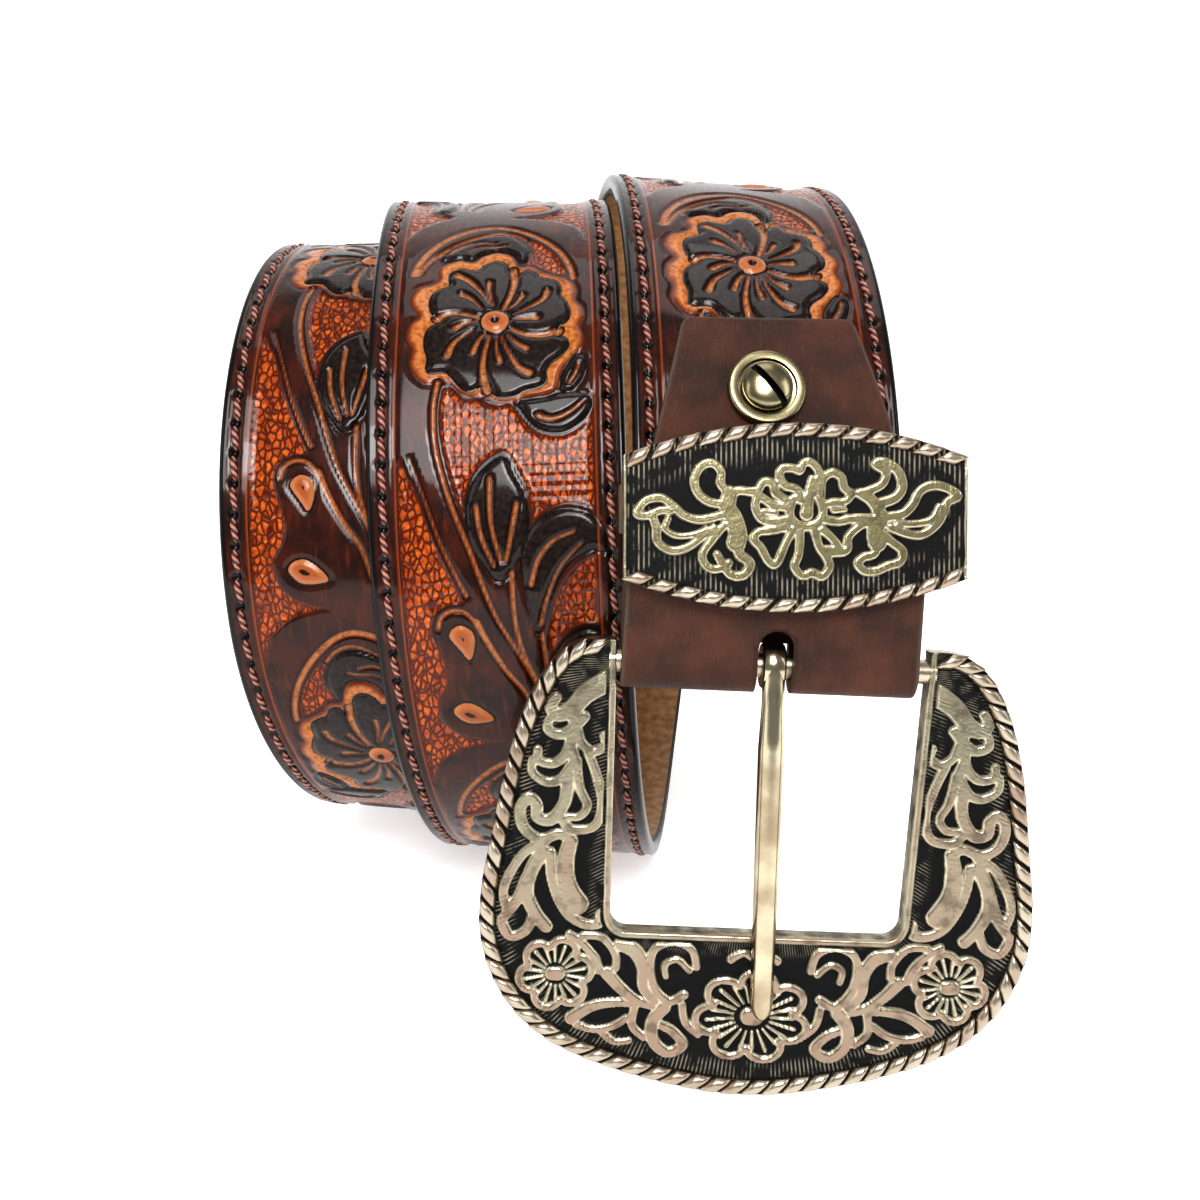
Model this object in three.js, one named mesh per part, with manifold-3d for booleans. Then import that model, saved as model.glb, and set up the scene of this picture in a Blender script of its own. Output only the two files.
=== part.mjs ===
// A tooled western leather belt, rolled up in three turns, its buckle leaning in front.
// Millimetres, +Z up, the front faces -Y. The origin is the bottom centre of the whole belt.
import * as THREE from "three";
import { mergeVertices } from "three/addons/utils/BufferGeometryUtils.js";
import Module from "manifold-3d";

const wasm = await Module();
wasm.setup();

// Driving sizes
const CLEAR = 0.3; // gap between two pieces that touch
const FLOOR_GAP = 0.15; // the buckle's rim stands this far above the floor

const STRAP = {
  width: 38,
  face: 2.25, // tooled leather
  bond: 0.25, // glue line
  lining: 1, // plain leather behind
  length: 1150, // from the bar to the tip
  start: 12, // from the bar to the strap's end inside the chape
  round: 0.9, // rounding of the painted edges
  cup: 0.35, // the free strap's edges curl out this far
  tip: 26, // length of the rounded tip
};

const HOLES = { count: 5, pitch: 25, first: 95, radius: 2.3 };

const COIL = {
  radius: 66.1, // outer face of the first turn
  air: 2.15, // between two turns
  lead: 12.6, // degrees up from the front, where the strap leaves the coil
};

// One row for each quarter turn. Bulge is a share of the coil's radius,
// shift a share of the strap's width, lean the section's tilt in degrees.
const COIL_TABLE = [
  { turn: -0.25, bulge: 0.05, shift: 0.66, lean: -3.4 },
  { turn: 0, bulge: 0.037, shift: 0.643, lean: -2.3 },
  { turn: 0.25, bulge: -0.003, shift: 0.492, lean: -1.1 },
  { turn: 0.5, bulge: 0.019, shift: 0.266, lean: -0.4 },
  { turn: 0.75, bulge: -0.008, shift: -0.031, lean: 0 },
  { turn: 1, bulge: 0.001, shift: -0.35, lean: 2.7 },
  { turn: 1.25, bulge: 0.006, shift: -0.515, lean: 3.1 },
  { turn: 1.5, bulge: 0.001, shift: -0.693, lean: 3.5 },
  { turn: 1.75, bulge: -0.012, shift: -0.64, lean: 3.8 },
  { turn: 2, bulge: -0.006, shift: -0.979, lean: 4.2 },
  { turn: 2.25, bulge: -0.029, shift: -1.025, lean: 4.2 },
  { turn: 2.5, bulge: 0, shift: -0.817, lean: 4.2 },
  { turn: 2.75, bulge: -0.021, shift: -0.79, lean: 4.2 },
  { turn: 3, bulge: -0.015, shift: -0.87, lean: 4.2 },
  { turn: 3.25, bulge: -0.01, shift: -0.9, lean: 4.2 },
  { turn: 3.5, bulge: -0.01, shift: -0.9, lean: 4.2 },
];

const CHAPE = { width: 41.8, wall: 1.8, leg: 50.8, shift: 0.7 };
// Reach is a share of the leg, half a share of half the chape's width.
const CHAPE_TABLE = [
  { reach: 0, half: 1 },
  { reach: 0.31, half: 1 },
  { reach: 0.975, half: 0.603 },
  { reach: 1, half: 0.555 },
];
const SLOT = { width: 5.2, top: 5.6 };

const FRAME = {
  width: 81.6,
  reach: 64.8, // from the bar's axis to the rim
  back: 1.7, // behind the bar's axis
  front: 1.3, // ahead of it, up to the sunk ground
  relief: 0.7,
  rope: 0.9,
  ropeWidth: 2.3,
  ropeCount: 66,
  shift: 1.4, // the buckle sits a little to the right of the strap
};
// Outer outline of one half: half is a share of half the width, drop of the reach.
const FRAME_TABLE = [
  { half: 0.545, drop: -0.048 },
  { half: 0.67, drop: -0.04 },
  { half: 0.77, drop: 0.01 },
  { half: 0.855, drop: 0.11 },
  { half: 0.911, drop: 0.235 },
  { half: 0.953, drop: 0.39 },
  { half: 0.988, drop: 0.545 },
  { half: 0.973, drop: 0.67 },
  { half: 0.879, drop: 0.795 },
  { half: 0.693, drop: 0.895 },
  { half: 0.371, drop: 0.967 },
  { half: 0, drop: 1 },
];
const WINDOW = { taper: 0.8, drop: 40, corner: 2.6 };
const TONGUE = { width: 3.7, height: 2.5, eye: 1.35, eyeWidth: 3.2, past: 12, play: 0.25 };

const KEEPER = {
  play: 4.2, // how far the loop can slide from side to side
  wall: 1.1,
  plate: 1.8,
  relief: 0.6,
  rope: 0.9,
  ropeWidth: 1.7,
  ropeCount: 13,
  midHeight: 25.8,
  endHeight: 16.8,
  seat: 21, // from the bar to the plate's middle
  strip: 7, // height of the loop behind
  stripRise: 1.6, // the loop's middle above the plate's
  bend: 1.6, // chamfer of its two bends
};

const SCREW = { seat: 38.8, shift: -0.5, shank: 1.4, head: 3.5, dome: 1.5, slot: 0.9 };
const WASHER = { radius: 5.5, rim: 1.35, height: 1.2, base: 0.5 };
const POST = { tube: 2.2, bore: 1.7, flange: 4.4, flangeHeight: 1 };

// Sizes worked out from them
const STRAP_THICK = STRAP.face + STRAP.bond + STRAP.lining;
const BAR_RADIUS = STRAP_THICK / 2;
const FOLD_INNER = BAR_RADIUS + CLEAR;
const FOLD_OUTER = FOLD_INNER + CHAPE.wall;
const CHAPE_TOP = CLEAR + CHAPE.wall; // lift of the chape's outer face above the strap's
const BACK_BOTTOM = -STRAP_THICK - CLEAR - CHAPE.wall;
const TURN_DROP = STRAP_THICK + COIL.air;
const RAD = Math.PI / 180;
const STRAP_STEP = 11; // degrees of the coil between two sections of the strap
const LEAD = COIL.lead * RAD;

// A column of a table at any value of its first column, as a smooth curve through the rows.
function smooth(table, key, column, value) {
  const last = table.length - 2;
  let i = 1;
  while (i < last - 1 && value > table[i + 1][key]) i += 1;
  const t = (value - table[i][key]) / (table[i + 1][key] - table[i][key]);
  const [a, b, c, d] = [i - 1, i, i + 1, i + 2].map((k) => table[Math.min(k, table.length - 1)][column]);
  const t2 = t * t;
  const t3 = t2 * t;
  return 0.5 * (2 * b + (c - a) * t + (2 * a - 5 * b + 4 * c - d) * t2 + (3 * b - a - 3 * c + d) * t3);
}

// The same with straight stretches between the rows.
function straight(table, key, column, value) {
  let i = 0;
  while (i < table.length - 2 && value > table[i + 1][key]) i += 1;
  const t = (value - table[i][key]) / (table[i + 1][key] - table[i][key]);
  return THREE.MathUtils.lerp(table[i][column], table[i + 1][column], THREE.MathUtils.clamp(t, 0, 1));
}

function coilRadius(turn) {
  return COIL.radius * (1 + smooth(COIL_TABLE, "turn", "bulge", turn)) - TURN_DROP * turn;
}

// The first turn's cupped edges touch the floor, and the coil's axis stays level.
const AXIS_HEIGHT = coilRadius(0.75) + STRAP.cup;

// Middle of the strap's outer face at a turn, and the direction out of the coil there.
function coilPoint(turn) {
  const angle = turn * 2 * Math.PI;
  const r = coilRadius(turn);
  const x = smooth(COIL_TABLE, "turn", "shift", turn) * STRAP.width;
  return new THREE.Vector3(x, -r * Math.cos(angle), AXIS_HEIGHT + r * Math.sin(angle));
}

function coilFrame(turn) {
  const step = 0.5 / 360;
  const along = coilPoint(turn + step).sub(coilPoint(turn - step)).normalize();
  const angle = turn * 2 * Math.PI;
  const out = new THREE.Vector3(0, -Math.cos(angle), Math.sin(angle));
  const across = new THREE.Vector3().crossVectors(out, along).normalize();
  if (across.x < 0) across.negate();
  const lean = smooth(COIL_TABLE, "turn", "lean", turn) * RAD;
  return {
    p: coilPoint(turn),
    across: across.clone().multiplyScalar(Math.cos(lean)).addScaledVector(out, Math.sin(lean)),
    out: out.clone().multiplyScalar(Math.cos(lean)).addScaledVector(across, -Math.sin(lean)),
  };
}

// Where the strap leaves the coil, it runs straight down to the bar.
const LEAVE = coilFrame(COIL.lead / 360);
const BUCKLE_OUT = new THREE.Vector3(0, -Math.cos(LEAD), Math.sin(LEAD));
const BUCKLE_UP = new THREE.Vector3(0, Math.sin(LEAD), Math.cos(LEAD));
const RIM_DEPTH = FRAME.reach * Math.cos(LEAD) + FRAME.back * Math.sin(LEAD) + FLOOR_GAP;
// The straight run is as long as it takes to stand the buckle's rim on the floor.
const LEAD_RUN = (LEAVE.p.z - BAR_RADIUS * Math.sin(LEAD) - RIM_DEPTH) / Math.cos(LEAD);

// The strap's route from the bar to the tip: one sample for each degree, with its length so far.
function makeRoute() {
  const start = LEAVE.p.clone().addScaledVector(BUCKLE_UP, -LEAD_RUN);
  const samples = [
    { s: 0, p: start, across: new THREE.Vector3(1, 0, 0), out: BUCKLE_OUT.clone() },
    { s: LEAD_RUN, p: LEAVE.p, across: LEAVE.across, out: LEAVE.out },
  ];
  let s = LEAD_RUN;
  let turn = COIL.lead / 360;
  while (s < STRAP.length + STRAP.width) {
    turn += 1 / 360;
    const frame = coilFrame(turn);
    s += frame.p.distanceTo(samples[samples.length - 1].p);
    samples.push({ s, ...frame });
  }
  return samples;
}
const ROUTE = makeRoute();

function at(s) {
  let i = 0;
  while (i < ROUTE.length - 2 && s > ROUTE[i + 1].s) i += 1;
  const [a, b] = [ROUTE[i], ROUTE[i + 1]];
  const t = (s - a.s) / (b.s - a.s);
  return {
    p: a.p.clone().lerp(b.p, t),
    across: a.across.clone().lerp(b.across, t).normalize(),
    out: a.out.clone().lerp(b.out, t).normalize(),
  };
}

// A point at a length along the strap, an offset across it and a lift out of its face.
function onStrap(s, across, lift) {
  const f = at(s);
  return f.p.addScaledVector(f.across, across).addScaledVector(f.out, lift);
}

// Places a shape made around its own origin: X across the strap, Y along it, Z out of it.
function strapMatrix(s, across, lift) {
  const f = at(s);
  const along = new THREE.Vector3().crossVectors(f.out, f.across).normalize();
  const side = new THREE.Vector3().crossVectors(along, f.out).normalize();
  return new THREE.Matrix4().makeBasis(side, along, f.out).setPosition(onStrap(s, across, lift));
}

// Solids: a geometry becomes a manifold solid and back
function solid(geometry) {
  const g = geometry.clone();
  for (const name of Object.keys(g.attributes)) {
    if (name !== "position") g.deleteAttribute(name);
  }
  const merged = mergeVertices(g, 1e-4);
  return new wasm.Manifold(
    new wasm.Mesh({
      numProp: 3,
      vertProperties: merged.attributes.position.array,
      triVerts: new Uint32Array(merged.index.array),
    }),
  );
}

function geometryOf(body) {
  const mesh = body.getMesh();
  const g = new THREE.BufferGeometry();
  g.setAttribute("position", new THREE.BufferAttribute(new Float32Array(mesh.vertProperties), 3));
  g.setIndex(new THREE.BufferAttribute(new Uint32Array(mesh.triVerts), 1));
  return g;
}

function joinAll(bodies) {
  return bodies.reduce((all, body) => all.add(body));
}

// A closed body through rings of points, all with the same count, its two ends capped.
function ringBody(rings) {
  const count = rings[0].length;
  const positions = rings.flat().flatMap((p) => [p.x, p.y, p.z]);
  const index = [];
  for (let i = 0; i < rings.length - 1; i += 1) {
    for (let j = 0; j < count; j += 1) {
      const a = i * count + j;
      const b = i * count + ((j + 1) % count);
      index.push(a, b, a + count, b, b + count, a + count);
    }
  }
  // A cap is a strip from the first to the last point, as the sections are thin.
  for (let low = 0, high = count - 1; high - low > 1; ) {
    const next = high - low > 2 ? [low + 1, high - 1] : [low + 1];
    const last = (rings.length - 1) * count;
    index.push(low, high, next[0]);
    index.push(last + low, last + next[0], last + high);
    if (next.length === 2) {
      index.push(next[0], high, next[1]);
      index.push(last + next[0], last + next[1], last + high);
    }
    low += 1;
    high -= 1;
  }
  const g = new THREE.BufferGeometry();
  g.setAttribute("position", new THREE.Float32BufferAttribute(positions, 3));
  g.setIndex(index);
  return outward(g);
}

// A body whose faces point in is turned round.
function outward(geometry) {
  const body = solid(geometry);
  if (body.volume() > 0) return body;
  const turned = geometry.clone();
  const index = turned.index.array;
  for (let i = 0; i < index.length; i += 3) {
    [index[i + 1], index[i + 2]] = [index[i + 2], index[i + 1]];
  }
  return solid(turned);
}

// A cylinder along Z whose foot is at a height.
function disc(radius, foot, height, sides = 28) {
  return new THREE.CylinderGeometry(radius, radius, height, sides)
    .rotateX(Math.PI / 2)
    .translate(0, 0, foot + height / 2);
}

function placed(geometry, matrix) {
  return outward(geometry.clone().applyMatrix4(matrix));
}

// A flat shape raised along Z from one height by another.
function raised(points, foot, height) {
  const shape = new THREE.Shape(points.map(([x, y]) => new THREE.Vector2(x, y)));
  return new THREE.ExtrudeGeometry(shape, { depth: height, bevelEnabled: false }).translate(0, 0, foot);
}

// Outline of a scroll: a smooth line through points, thick at its head and thin at its tail.
function scrollOutline(points, head, tail, steps = 6) {
  const curve = new THREE.SplineCurve(points.map(([x, y]) => new THREE.Vector2(x, y)));
  const left = [];
  const right = [];
  for (let i = 0; i <= steps; i += 1) {
    const t = i / steps;
    const p = curve.getPoint(t);
    const d = curve.getTangent(t);
    const half = THREE.MathUtils.lerp(head, tail, t) / 2;
    left.push([p.x - d.y * half, p.y + d.x * half]);
    right.unshift([p.x + d.y * half, p.y - d.x * half]);
  }
  return left.concat(right);
}

// Outline of an open flower: rounded petals around a middle.
function flowerOutline(x, y, radius, petals) {
  const stepsPerPetal = 6;
  const total = petals * stepsPerPetal;
  return Array.from({ length: total }, (_, i) => {
    const a = (i / total) * 2 * Math.PI;
    const r = radius * (0.84 + 0.16 * Math.cos(petals * a));
    return [x + r * Math.sin(a), y + r * Math.cos(a)];
  });
}

// Slanted segments of a rope border that follows a line of edge points, inward of it.
function ropeSegments(edge, inward, count, width, foot, height) {
  const slant = 0.45;
  const groove = 0.16;
  const inset = 0.15;
  const bodies = [];
  const spot = (t, depth) => {
    const k = THREE.MathUtils.clamp(t, 0, 1);
    const p = edge(k);
    const n = inward(k);
    return [p.x + n.x * depth, p.y + n.y * depth];
  };
  for (let i = 0; i < count; i += 1) {
    const a = (i + groove) / count;
    const b = (i + 1) / count;
    const lean = slant / count;
    const outline = [spot(a, inset), spot(b, inset), spot(b + lean, width), spot(a + lean, width)];
    bodies.push(outward(raised(outline, foot, height)));
  }
  return bodies;
}

// Leather layers of the strap
function strapHalf(s) {
  const left = STRAP.length - s;
  const k = THREE.MathUtils.clamp(1 - left / STRAP.tip, 0, 0.995);
  return (STRAP.width / 2) * Math.sqrt(1 - k * k);
}

// Flat inside the chape, cupped where the strap is free.
function cupAt(s) {
  return STRAP.cup * THREE.MathUtils.smoothstep(s, CHAPE.leg, CHAPE.leg * 1.8);
}

function strapStations() {
  const step = STRAP_STEP * RAD * COIL.radius * 0.9;
  const stations = [STRAP.start, LEAD_RUN];
  const tipStart = STRAP.length - STRAP.tip;
  const count = Math.ceil((tipStart - LEAD_RUN) / step);
  for (let i = 1; i <= count; i += 1) stations.push(LEAD_RUN + ((tipStart - LEAD_RUN) * i) / count);
  for (const share of [0.35, 0.65, 0.85, 0.96, 1]) stations.push(tipStart + STRAP.tip * share);
  return stations;
}

// One layer of leather from its top lift down by its thickness, narrower than the strap by an inset
// on each side, its upper edges rounded.
function leatherLayer(top, thick, inset, round) {
  const rings = strapStations().map((s) => {
    const half = Math.max(strapHalf(s) - inset, 0.5);
    const cup = cupAt(s);
    const soft = Math.min(round, half / 2);
    const third = (half - soft) / 3;
    const lift = (x) => cup * (x / (STRAP.width / 2)) ** 2;
    const ring = [-half + soft, -third, third, half - soft].map((x) => onStrap(s, x, top + lift(x)));
    if (round > 0) {
      ring.unshift(onStrap(s, -half, top - round + lift(half)));
      ring.push(onStrap(s, half, top - round + lift(half)));
    }
    for (const x of [half, third, -third, -half]) ring.push(onStrap(s, x, top - thick + lift(x)));
    return ring;
  });
  return ringBody(rings);
}

function holeTools() {
  const tools = [];
  for (let i = 0; i < HOLES.count; i += 1) {
    const s = STRAP.length - HOLES.first - i * HOLES.pitch;
    const tool = disc(HOLES.radius, -STRAP_THICK - CLEAR * 3, STRAP_THICK + CLEAR * 6, 10);
    tools.push(placed(tool, strapMatrix(s, 0, 0)));
  }
  return tools;
}

function screwHole() {
  const depth = STRAP_THICK + 4 * CHAPE.wall;
  const tool = disc(POST.tube + CLEAR, -depth, 2 * depth, 16);
  return placed(tool, strapMatrix(SCREW.seat, SCREW.shift, 0));
}

function makeStrap() {
  const body = leatherLayer(0, STRAP.face, 0, STRAP.round);
  return [...holeTools(), screwHole()].reduce((left, tool) => left.subtract(tool), body);
}

function makeLining() {
  const body = leatherLayer(-STRAP.face - STRAP.bond, STRAP.lining, 0.25, 0);
  return [...holeTools(), screwHole()].reduce((left, tool) => left.subtract(tool), body);
}

// The bar's axis and the frame of the buckle around it: X along the bar, Y up, Z out
const BAR_CENTRE = at(0).p.clone().addScaledVector(BUCKLE_OUT, -BAR_RADIUS);
const BUCKLE_MATRIX = new THREE.Matrix4()
  .makeBasis(new THREE.Vector3(1, 0, 0), BUCKLE_UP, BUCKLE_OUT)
  .setPosition(BAR_CENTRE.clone().setX(BAR_CENTRE.x + FRAME.shift));

function chapeHalf(s) {
  return (straight(CHAPE_TABLE, "reach", "half", s / CHAPE.leg) * CHAPE.width) / 2;
}

// One strip of leather: down the front leg, round the bar and up the back leg
function makeChape() {
  const rings = [];
  const legStations = [];
  const steps = 9;
  for (let i = 0; i < steps; i += 1) legStations.push((CHAPE.leg * 0.975 * i) / (steps - 1));
  legStations[0] = 0.6;
  legStations.push(CHAPE.leg);
  const section = (place, half, inner, outer) => [
    place(CHAPE.shift - half, inner),
    place(CHAPE.shift + half, inner),
    place(CHAPE.shift + half, outer),
    place(CHAPE.shift - half, outer),
  ];
  for (const s of [...legStations].reverse()) {
    rings.push(section((x, lift) => onStrap(s, x, lift), chapeHalf(s), CLEAR, CHAPE_TOP));
  }
  const foldSteps = 12;
  for (let i = 0; i <= foldSteps; i += 1) {
    const a = (i / foldSteps) * Math.PI;
    const place = (x, r) =>
      BAR_CENTRE.clone()
        .add(new THREE.Vector3(x, 0, 0))
        .addScaledVector(BUCKLE_OUT, r * Math.cos(a))
        .addScaledVector(BUCKLE_UP, -r * Math.sin(a));
    rings.push(section(place, chapeHalf(0), FOLD_INNER, FOLD_OUTER));
  }
  for (const s of legStations) {
    const inner = -STRAP_THICK - CLEAR;
    rings.push(section((x, lift) => onStrap(s, x, lift), chapeHalf(s), inner, BACK_BOTTOM));
  }
  const slotDepth = 2 * FOLD_OUTER + 2;
  const slotBottom = -FOLD_OUTER - 1;
  const slotShoulder = SLOT.top - SLOT.width / 2;
  const slotBox = new THREE.BoxGeometry(SLOT.width, slotShoulder - slotBottom, slotDepth).translate(
    0,
    (slotShoulder + slotBottom) / 2,
    0,
  );
  const slotEnd = disc(SLOT.width / 2, -slotDepth / 2, slotDepth, 16).translate(0, slotShoulder, 0);
  return ringBody(rings)
    .subtract(placed(slotBox, BUCKLE_MATRIX))
    .subtract(placed(slotEnd, BUCKLE_MATRIX))
    .subtract(screwHole());
}

// Buckle frame: U-shaped plate and bar, with the scrolls of one arm mirrored on the other
// Each scroll has its points from the bar's middle, across and down, and its two widths.
const FRAME_SCROLLS = [
  { head: 1.7, tail: 0.8, line: [[23.6, 3], [26.2, 4.9], [28.8, 7.4], [30.7, 7.4], [30.6, 5.9]] },
  { head: 1.1, tail: 0.8, line: [[26.6, 8.6], [29, 10.6], [31.4, 10], [31.2, 8.7]] },
  { head: 1, tail: 0.8, line: [[27.2, 10.6], [26.4, 12.6], [24.6, 13.2], [23.7, 11.4]] },
  { head: 1.1, tail: 0.8, line: [[27.6, 15.6], [29.6, 17.4], [32, 17.6], [33.3, 15.2]] },
  { head: 1, tail: 1, line: [[25.4, 15.6], [23.8, 19], [24.2, 23.4], [27.4, 24.6]] },
  { head: 1.2, tail: 1, line: [[28.4, 18.4], [29, 22.4], [31.2, 23.6], [32.6, 21.6]] },
  { head: 1, tail: 1.1, line: [[33.7, 20.9], [34.6, 23.4], [32.6, 26.2], [29.4, 25.8]] },
  { head: 1, tail: 0.9, line: [[31.6, 27], [34.8, 29.6], [36.7, 33.4], [35.4, 36]] },
  { head: 1.4, tail: 1, line: [[31.2, 28.4], [29.8, 33.4], [27.2, 37.8], [23.4, 38]] },
  { head: 2.1, tail: 1, line: [[28.4, 27], [28, 31.6], [26.6, 35.6]] },
  { head: 2.2, tail: 1, line: [[33.2, 30.6], [33, 35], [30.2, 39]] },
  { head: 1.7, tail: 0.9, line: [[18.9, 41.8], [17, 45.4], [16.6, 48.6], [13.8, 50.2]] },
  { head: 0.9, tail: 1, line: [[8.8, 44.6], [10.8, 41.5], [14.4, 42.8], [14.2, 48.6], [10.4, 49.2]] },
  { head: 1.3, tail: 0.9, line: [[25.4, 53], [22.4, 51.4], [17, 50.8]] },
  { head: 0.9, tail: 0.9, line: [[16.9, 52], [16.8, 54.8], [14.2, 57.2], [10.8, 57.8], [11.6, 54.6]] },
];
const FRAME_FLOWERS = [
  { across: -28.9, drop: 46.6, radius: 5.4, petals: 5 },
  { across: 28.9, drop: 46.6, radius: 5.4, petals: 5 },
  { across: 0.2, drop: 52, radius: 6.4, petals: 6 },
];
const SCROLL_WIDTH = 80.8; // the scrolls are drawn for a frame of this width
const SCROLL_REACH = 64.2; // and of this reach

function frameEdge() {
  const half = FRAME.width / 2;
  const right = FRAME_TABLE.map((row) => new THREE.Vector2(row.half * half, -row.drop * FRAME.reach));
  const left = FRAME_TABLE.slice(0, -1)
    .reverse()
    .map((row) => new THREE.Vector2(-row.half * half, -row.drop * FRAME.reach));
  return new THREE.SplineCurve(right.concat(left));
}

function windowSide() {
  return (FRAME.width / 2) * 0.545;
}

function makeFrame() {
  const edge = frameEdge();
  const side = windowSide();
  const low = side - WINDOW.taper;
  const shape = new THREE.Shape(edge.getSpacedPoints(FRAME.ropeCount));
  const top = -FRAME_TABLE[0].drop * FRAME.reach;
  const drop = WINDOW.drop;
  shape.lineTo(-side, top);
  shape.lineTo(-low, -drop + WINDOW.corner);
  shape.absarc(-low + WINDOW.corner, -drop + WINDOW.corner, WINDOW.corner, Math.PI, 1.5 * Math.PI, false);
  shape.absarc(low - WINDOW.corner, -drop + WINDOW.corner, WINDOW.corner, 1.5 * Math.PI, 2 * Math.PI, false);
  shape.lineTo(side, top);
  const depth = FRAME.back + FRAME.front;
  const plate = new THREE.ExtrudeGeometry(shape, { depth, bevelEnabled: false, curveSegments: 5 });
  const bodies = [outward(plate.translate(0, 0, -FRAME.back))];
  const bar = new THREE.CylinderGeometry(BAR_RADIUS, BAR_RADIUS, 2 * side + 2, 16).rotateZ(Math.PI / 2);
  bodies.push(outward(bar));
  const sx = FRAME.width / SCROLL_WIDTH;
  const sy = FRAME.reach / SCROLL_REACH;
  const foot = FRAME.front - 0.4;
  const height = FRAME.relief + 0.4;
  for (const { head, tail, line } of FRAME_SCROLLS) {
    for (const hand of [-1, 1]) {
      const outline = scrollOutline(line.map(([x, y]) => [hand * x * sx, -y * sy]), head, tail);
      bodies.push(outward(raised(outline, foot, height)));
    }
  }
  for (const { across, drop: down, radius, petals } of FRAME_FLOWERS) {
    bodies.push(outward(raised(flowerOutline(across * sx, -down * sy, radius, petals), foot, height)));
  }
  const ropes = ropeSegments(
    (t) => edge.getPointAt(t),
    (t) => ({ x: edge.getTangentAt(t).y, y: -edge.getTangentAt(t).x }),
    FRAME.ropeCount,
    FRAME.ropeWidth,
    FRAME.front - 0.4,
    FRAME.rope + 0.4,
  );
  return joinAll(bodies.concat(ropes)).transform(BUCKLE_MATRIX.toArray());
}

// Tongue: an eye round the bar and a half-round shaft that lies on the frame's lower rail
function makeTongue() {
  const bore = BAR_RADIUS + TONGUE.play;
  const outer = bore + TONGUE.eye;
  const eye = new THREE.CylinderGeometry(outer, outer, TONGUE.eyeWidth, 20).rotateZ(Math.PI / 2);
  const hole = new THREE.CylinderGeometry(bore, bore, TONGUE.eyeWidth * 2, 20).rotateZ(Math.PI / 2);
  const railTop = FRAME.front + FRAME.relief + CLEAR;
  const far = WINDOW.drop + TONGUE.past;
  const near = 1;
  const half = TONGUE.width / 2;
  const nearFoot = outer - TONGUE.height * 0.62;
  // Shares of the way from the eye to the tip, of the width and of the height
  const sections = [
    { way: 0, wide: 0.86, high: 0.62 },
    { way: 0.06, wide: 0.95, high: 0.9 },
    { way: 0.2, wide: 1, high: 1 },
    { way: 0.9, wide: 0.92, high: 0.96 },
    { way: 0.965, wide: 0.84, high: 0.86 },
    { way: 0.99, wide: 0.6, high: 0.66 },
    { way: 1, wide: 0.3, high: 0.42 },
  ];
  const rings = sections.map(({ way, wide, high }) => {
    const drop = THREE.MathUtils.lerp(near, far, way);
    // The underside climbs to the rail's relief, and then lies along it.
    const foot = THREE.MathUtils.lerp(nearFoot, railTop, Math.min(1, drop / WINDOW.drop));
    const w = half * wide;
    const h = TONGUE.height * high;
    return [
      [-w, 0],
      [-w, h * 0.35],
      [-w * 0.72, h * 0.8],
      [0, h],
      [w * 0.72, h * 0.8],
      [w, h * 0.35],
      [w, 0],
      [0, 0],
    ].map(([x, z]) => new THREE.Vector3(x, -drop, foot + z));
  });
  const body = outward(eye).add(ringBody(rings)).subtract(outward(hole));
  return body.transform(BUCKLE_MATRIX.toArray());
}

// Keeper: its left side has slid against the leather
const KEEPER_LOOP_LOW = KEEPER.seat + KEEPER.stripRise - KEEPER.strip / 2;
const LEATHER_LEFT = Math.max(STRAP.width / 2, chapeHalf(KEEPER_LOOP_LOW) - CHAPE.shift);
const LEATHER_RIGHT = Math.max(STRAP.width / 2, chapeHalf(KEEPER_LOOP_LOW) + CHAPE.shift);
const KEEPER_INNER = (LEATHER_LEFT + LEATHER_RIGHT + 2 * CLEAR + KEEPER.play) / 2;
const KEEPER_SHIFT = KEEPER_INNER - LEATHER_LEFT - CLEAR;
const KEEPER_HALF = KEEPER_INNER + KEEPER.wall;
const KEEPER_SCROLLS = [
  { head: 0.8, tail: 1.1, line: [[-21.4, -0.6], [-18.6, 1.6], [-15.4, -0.6], [-9.6, -1.2]] },
  { head: 0.7, tail: 0.8, line: [[-19.4, -0.4], [-18, -4], [-14.4, -4.8], [-11.2, -2.6]] },
  { head: 1.1, tail: 0.8, line: [[-4.6, 3.4], [-9, 2.6], [-11.6, 5.6], [-13.8, 3.4], [-11.4, 0.8]] },
  { head: 2.1, tail: 1.6, line: [[-10.4, 0.8], [-9.6, -1.6], [-9.4, -3.8]] },
  { head: 0.9, tail: 0.9, line: [[-9.4, -4], [-12.6, -6], [-10.6, -7.6], [-7.4, -7.2], [-7.6, -4.6]] },
];
const KEEPER_FLOWER = { across: 0.9, drop: -0.4, radius: 6.2, petals: 8 };

function keeperRise(x) {
  const k = 1 - (x / KEEPER_HALF) ** 2;
  return THREE.MathUtils.lerp(KEEPER.endHeight, KEEPER.midHeight, k) / 2;
}

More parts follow.
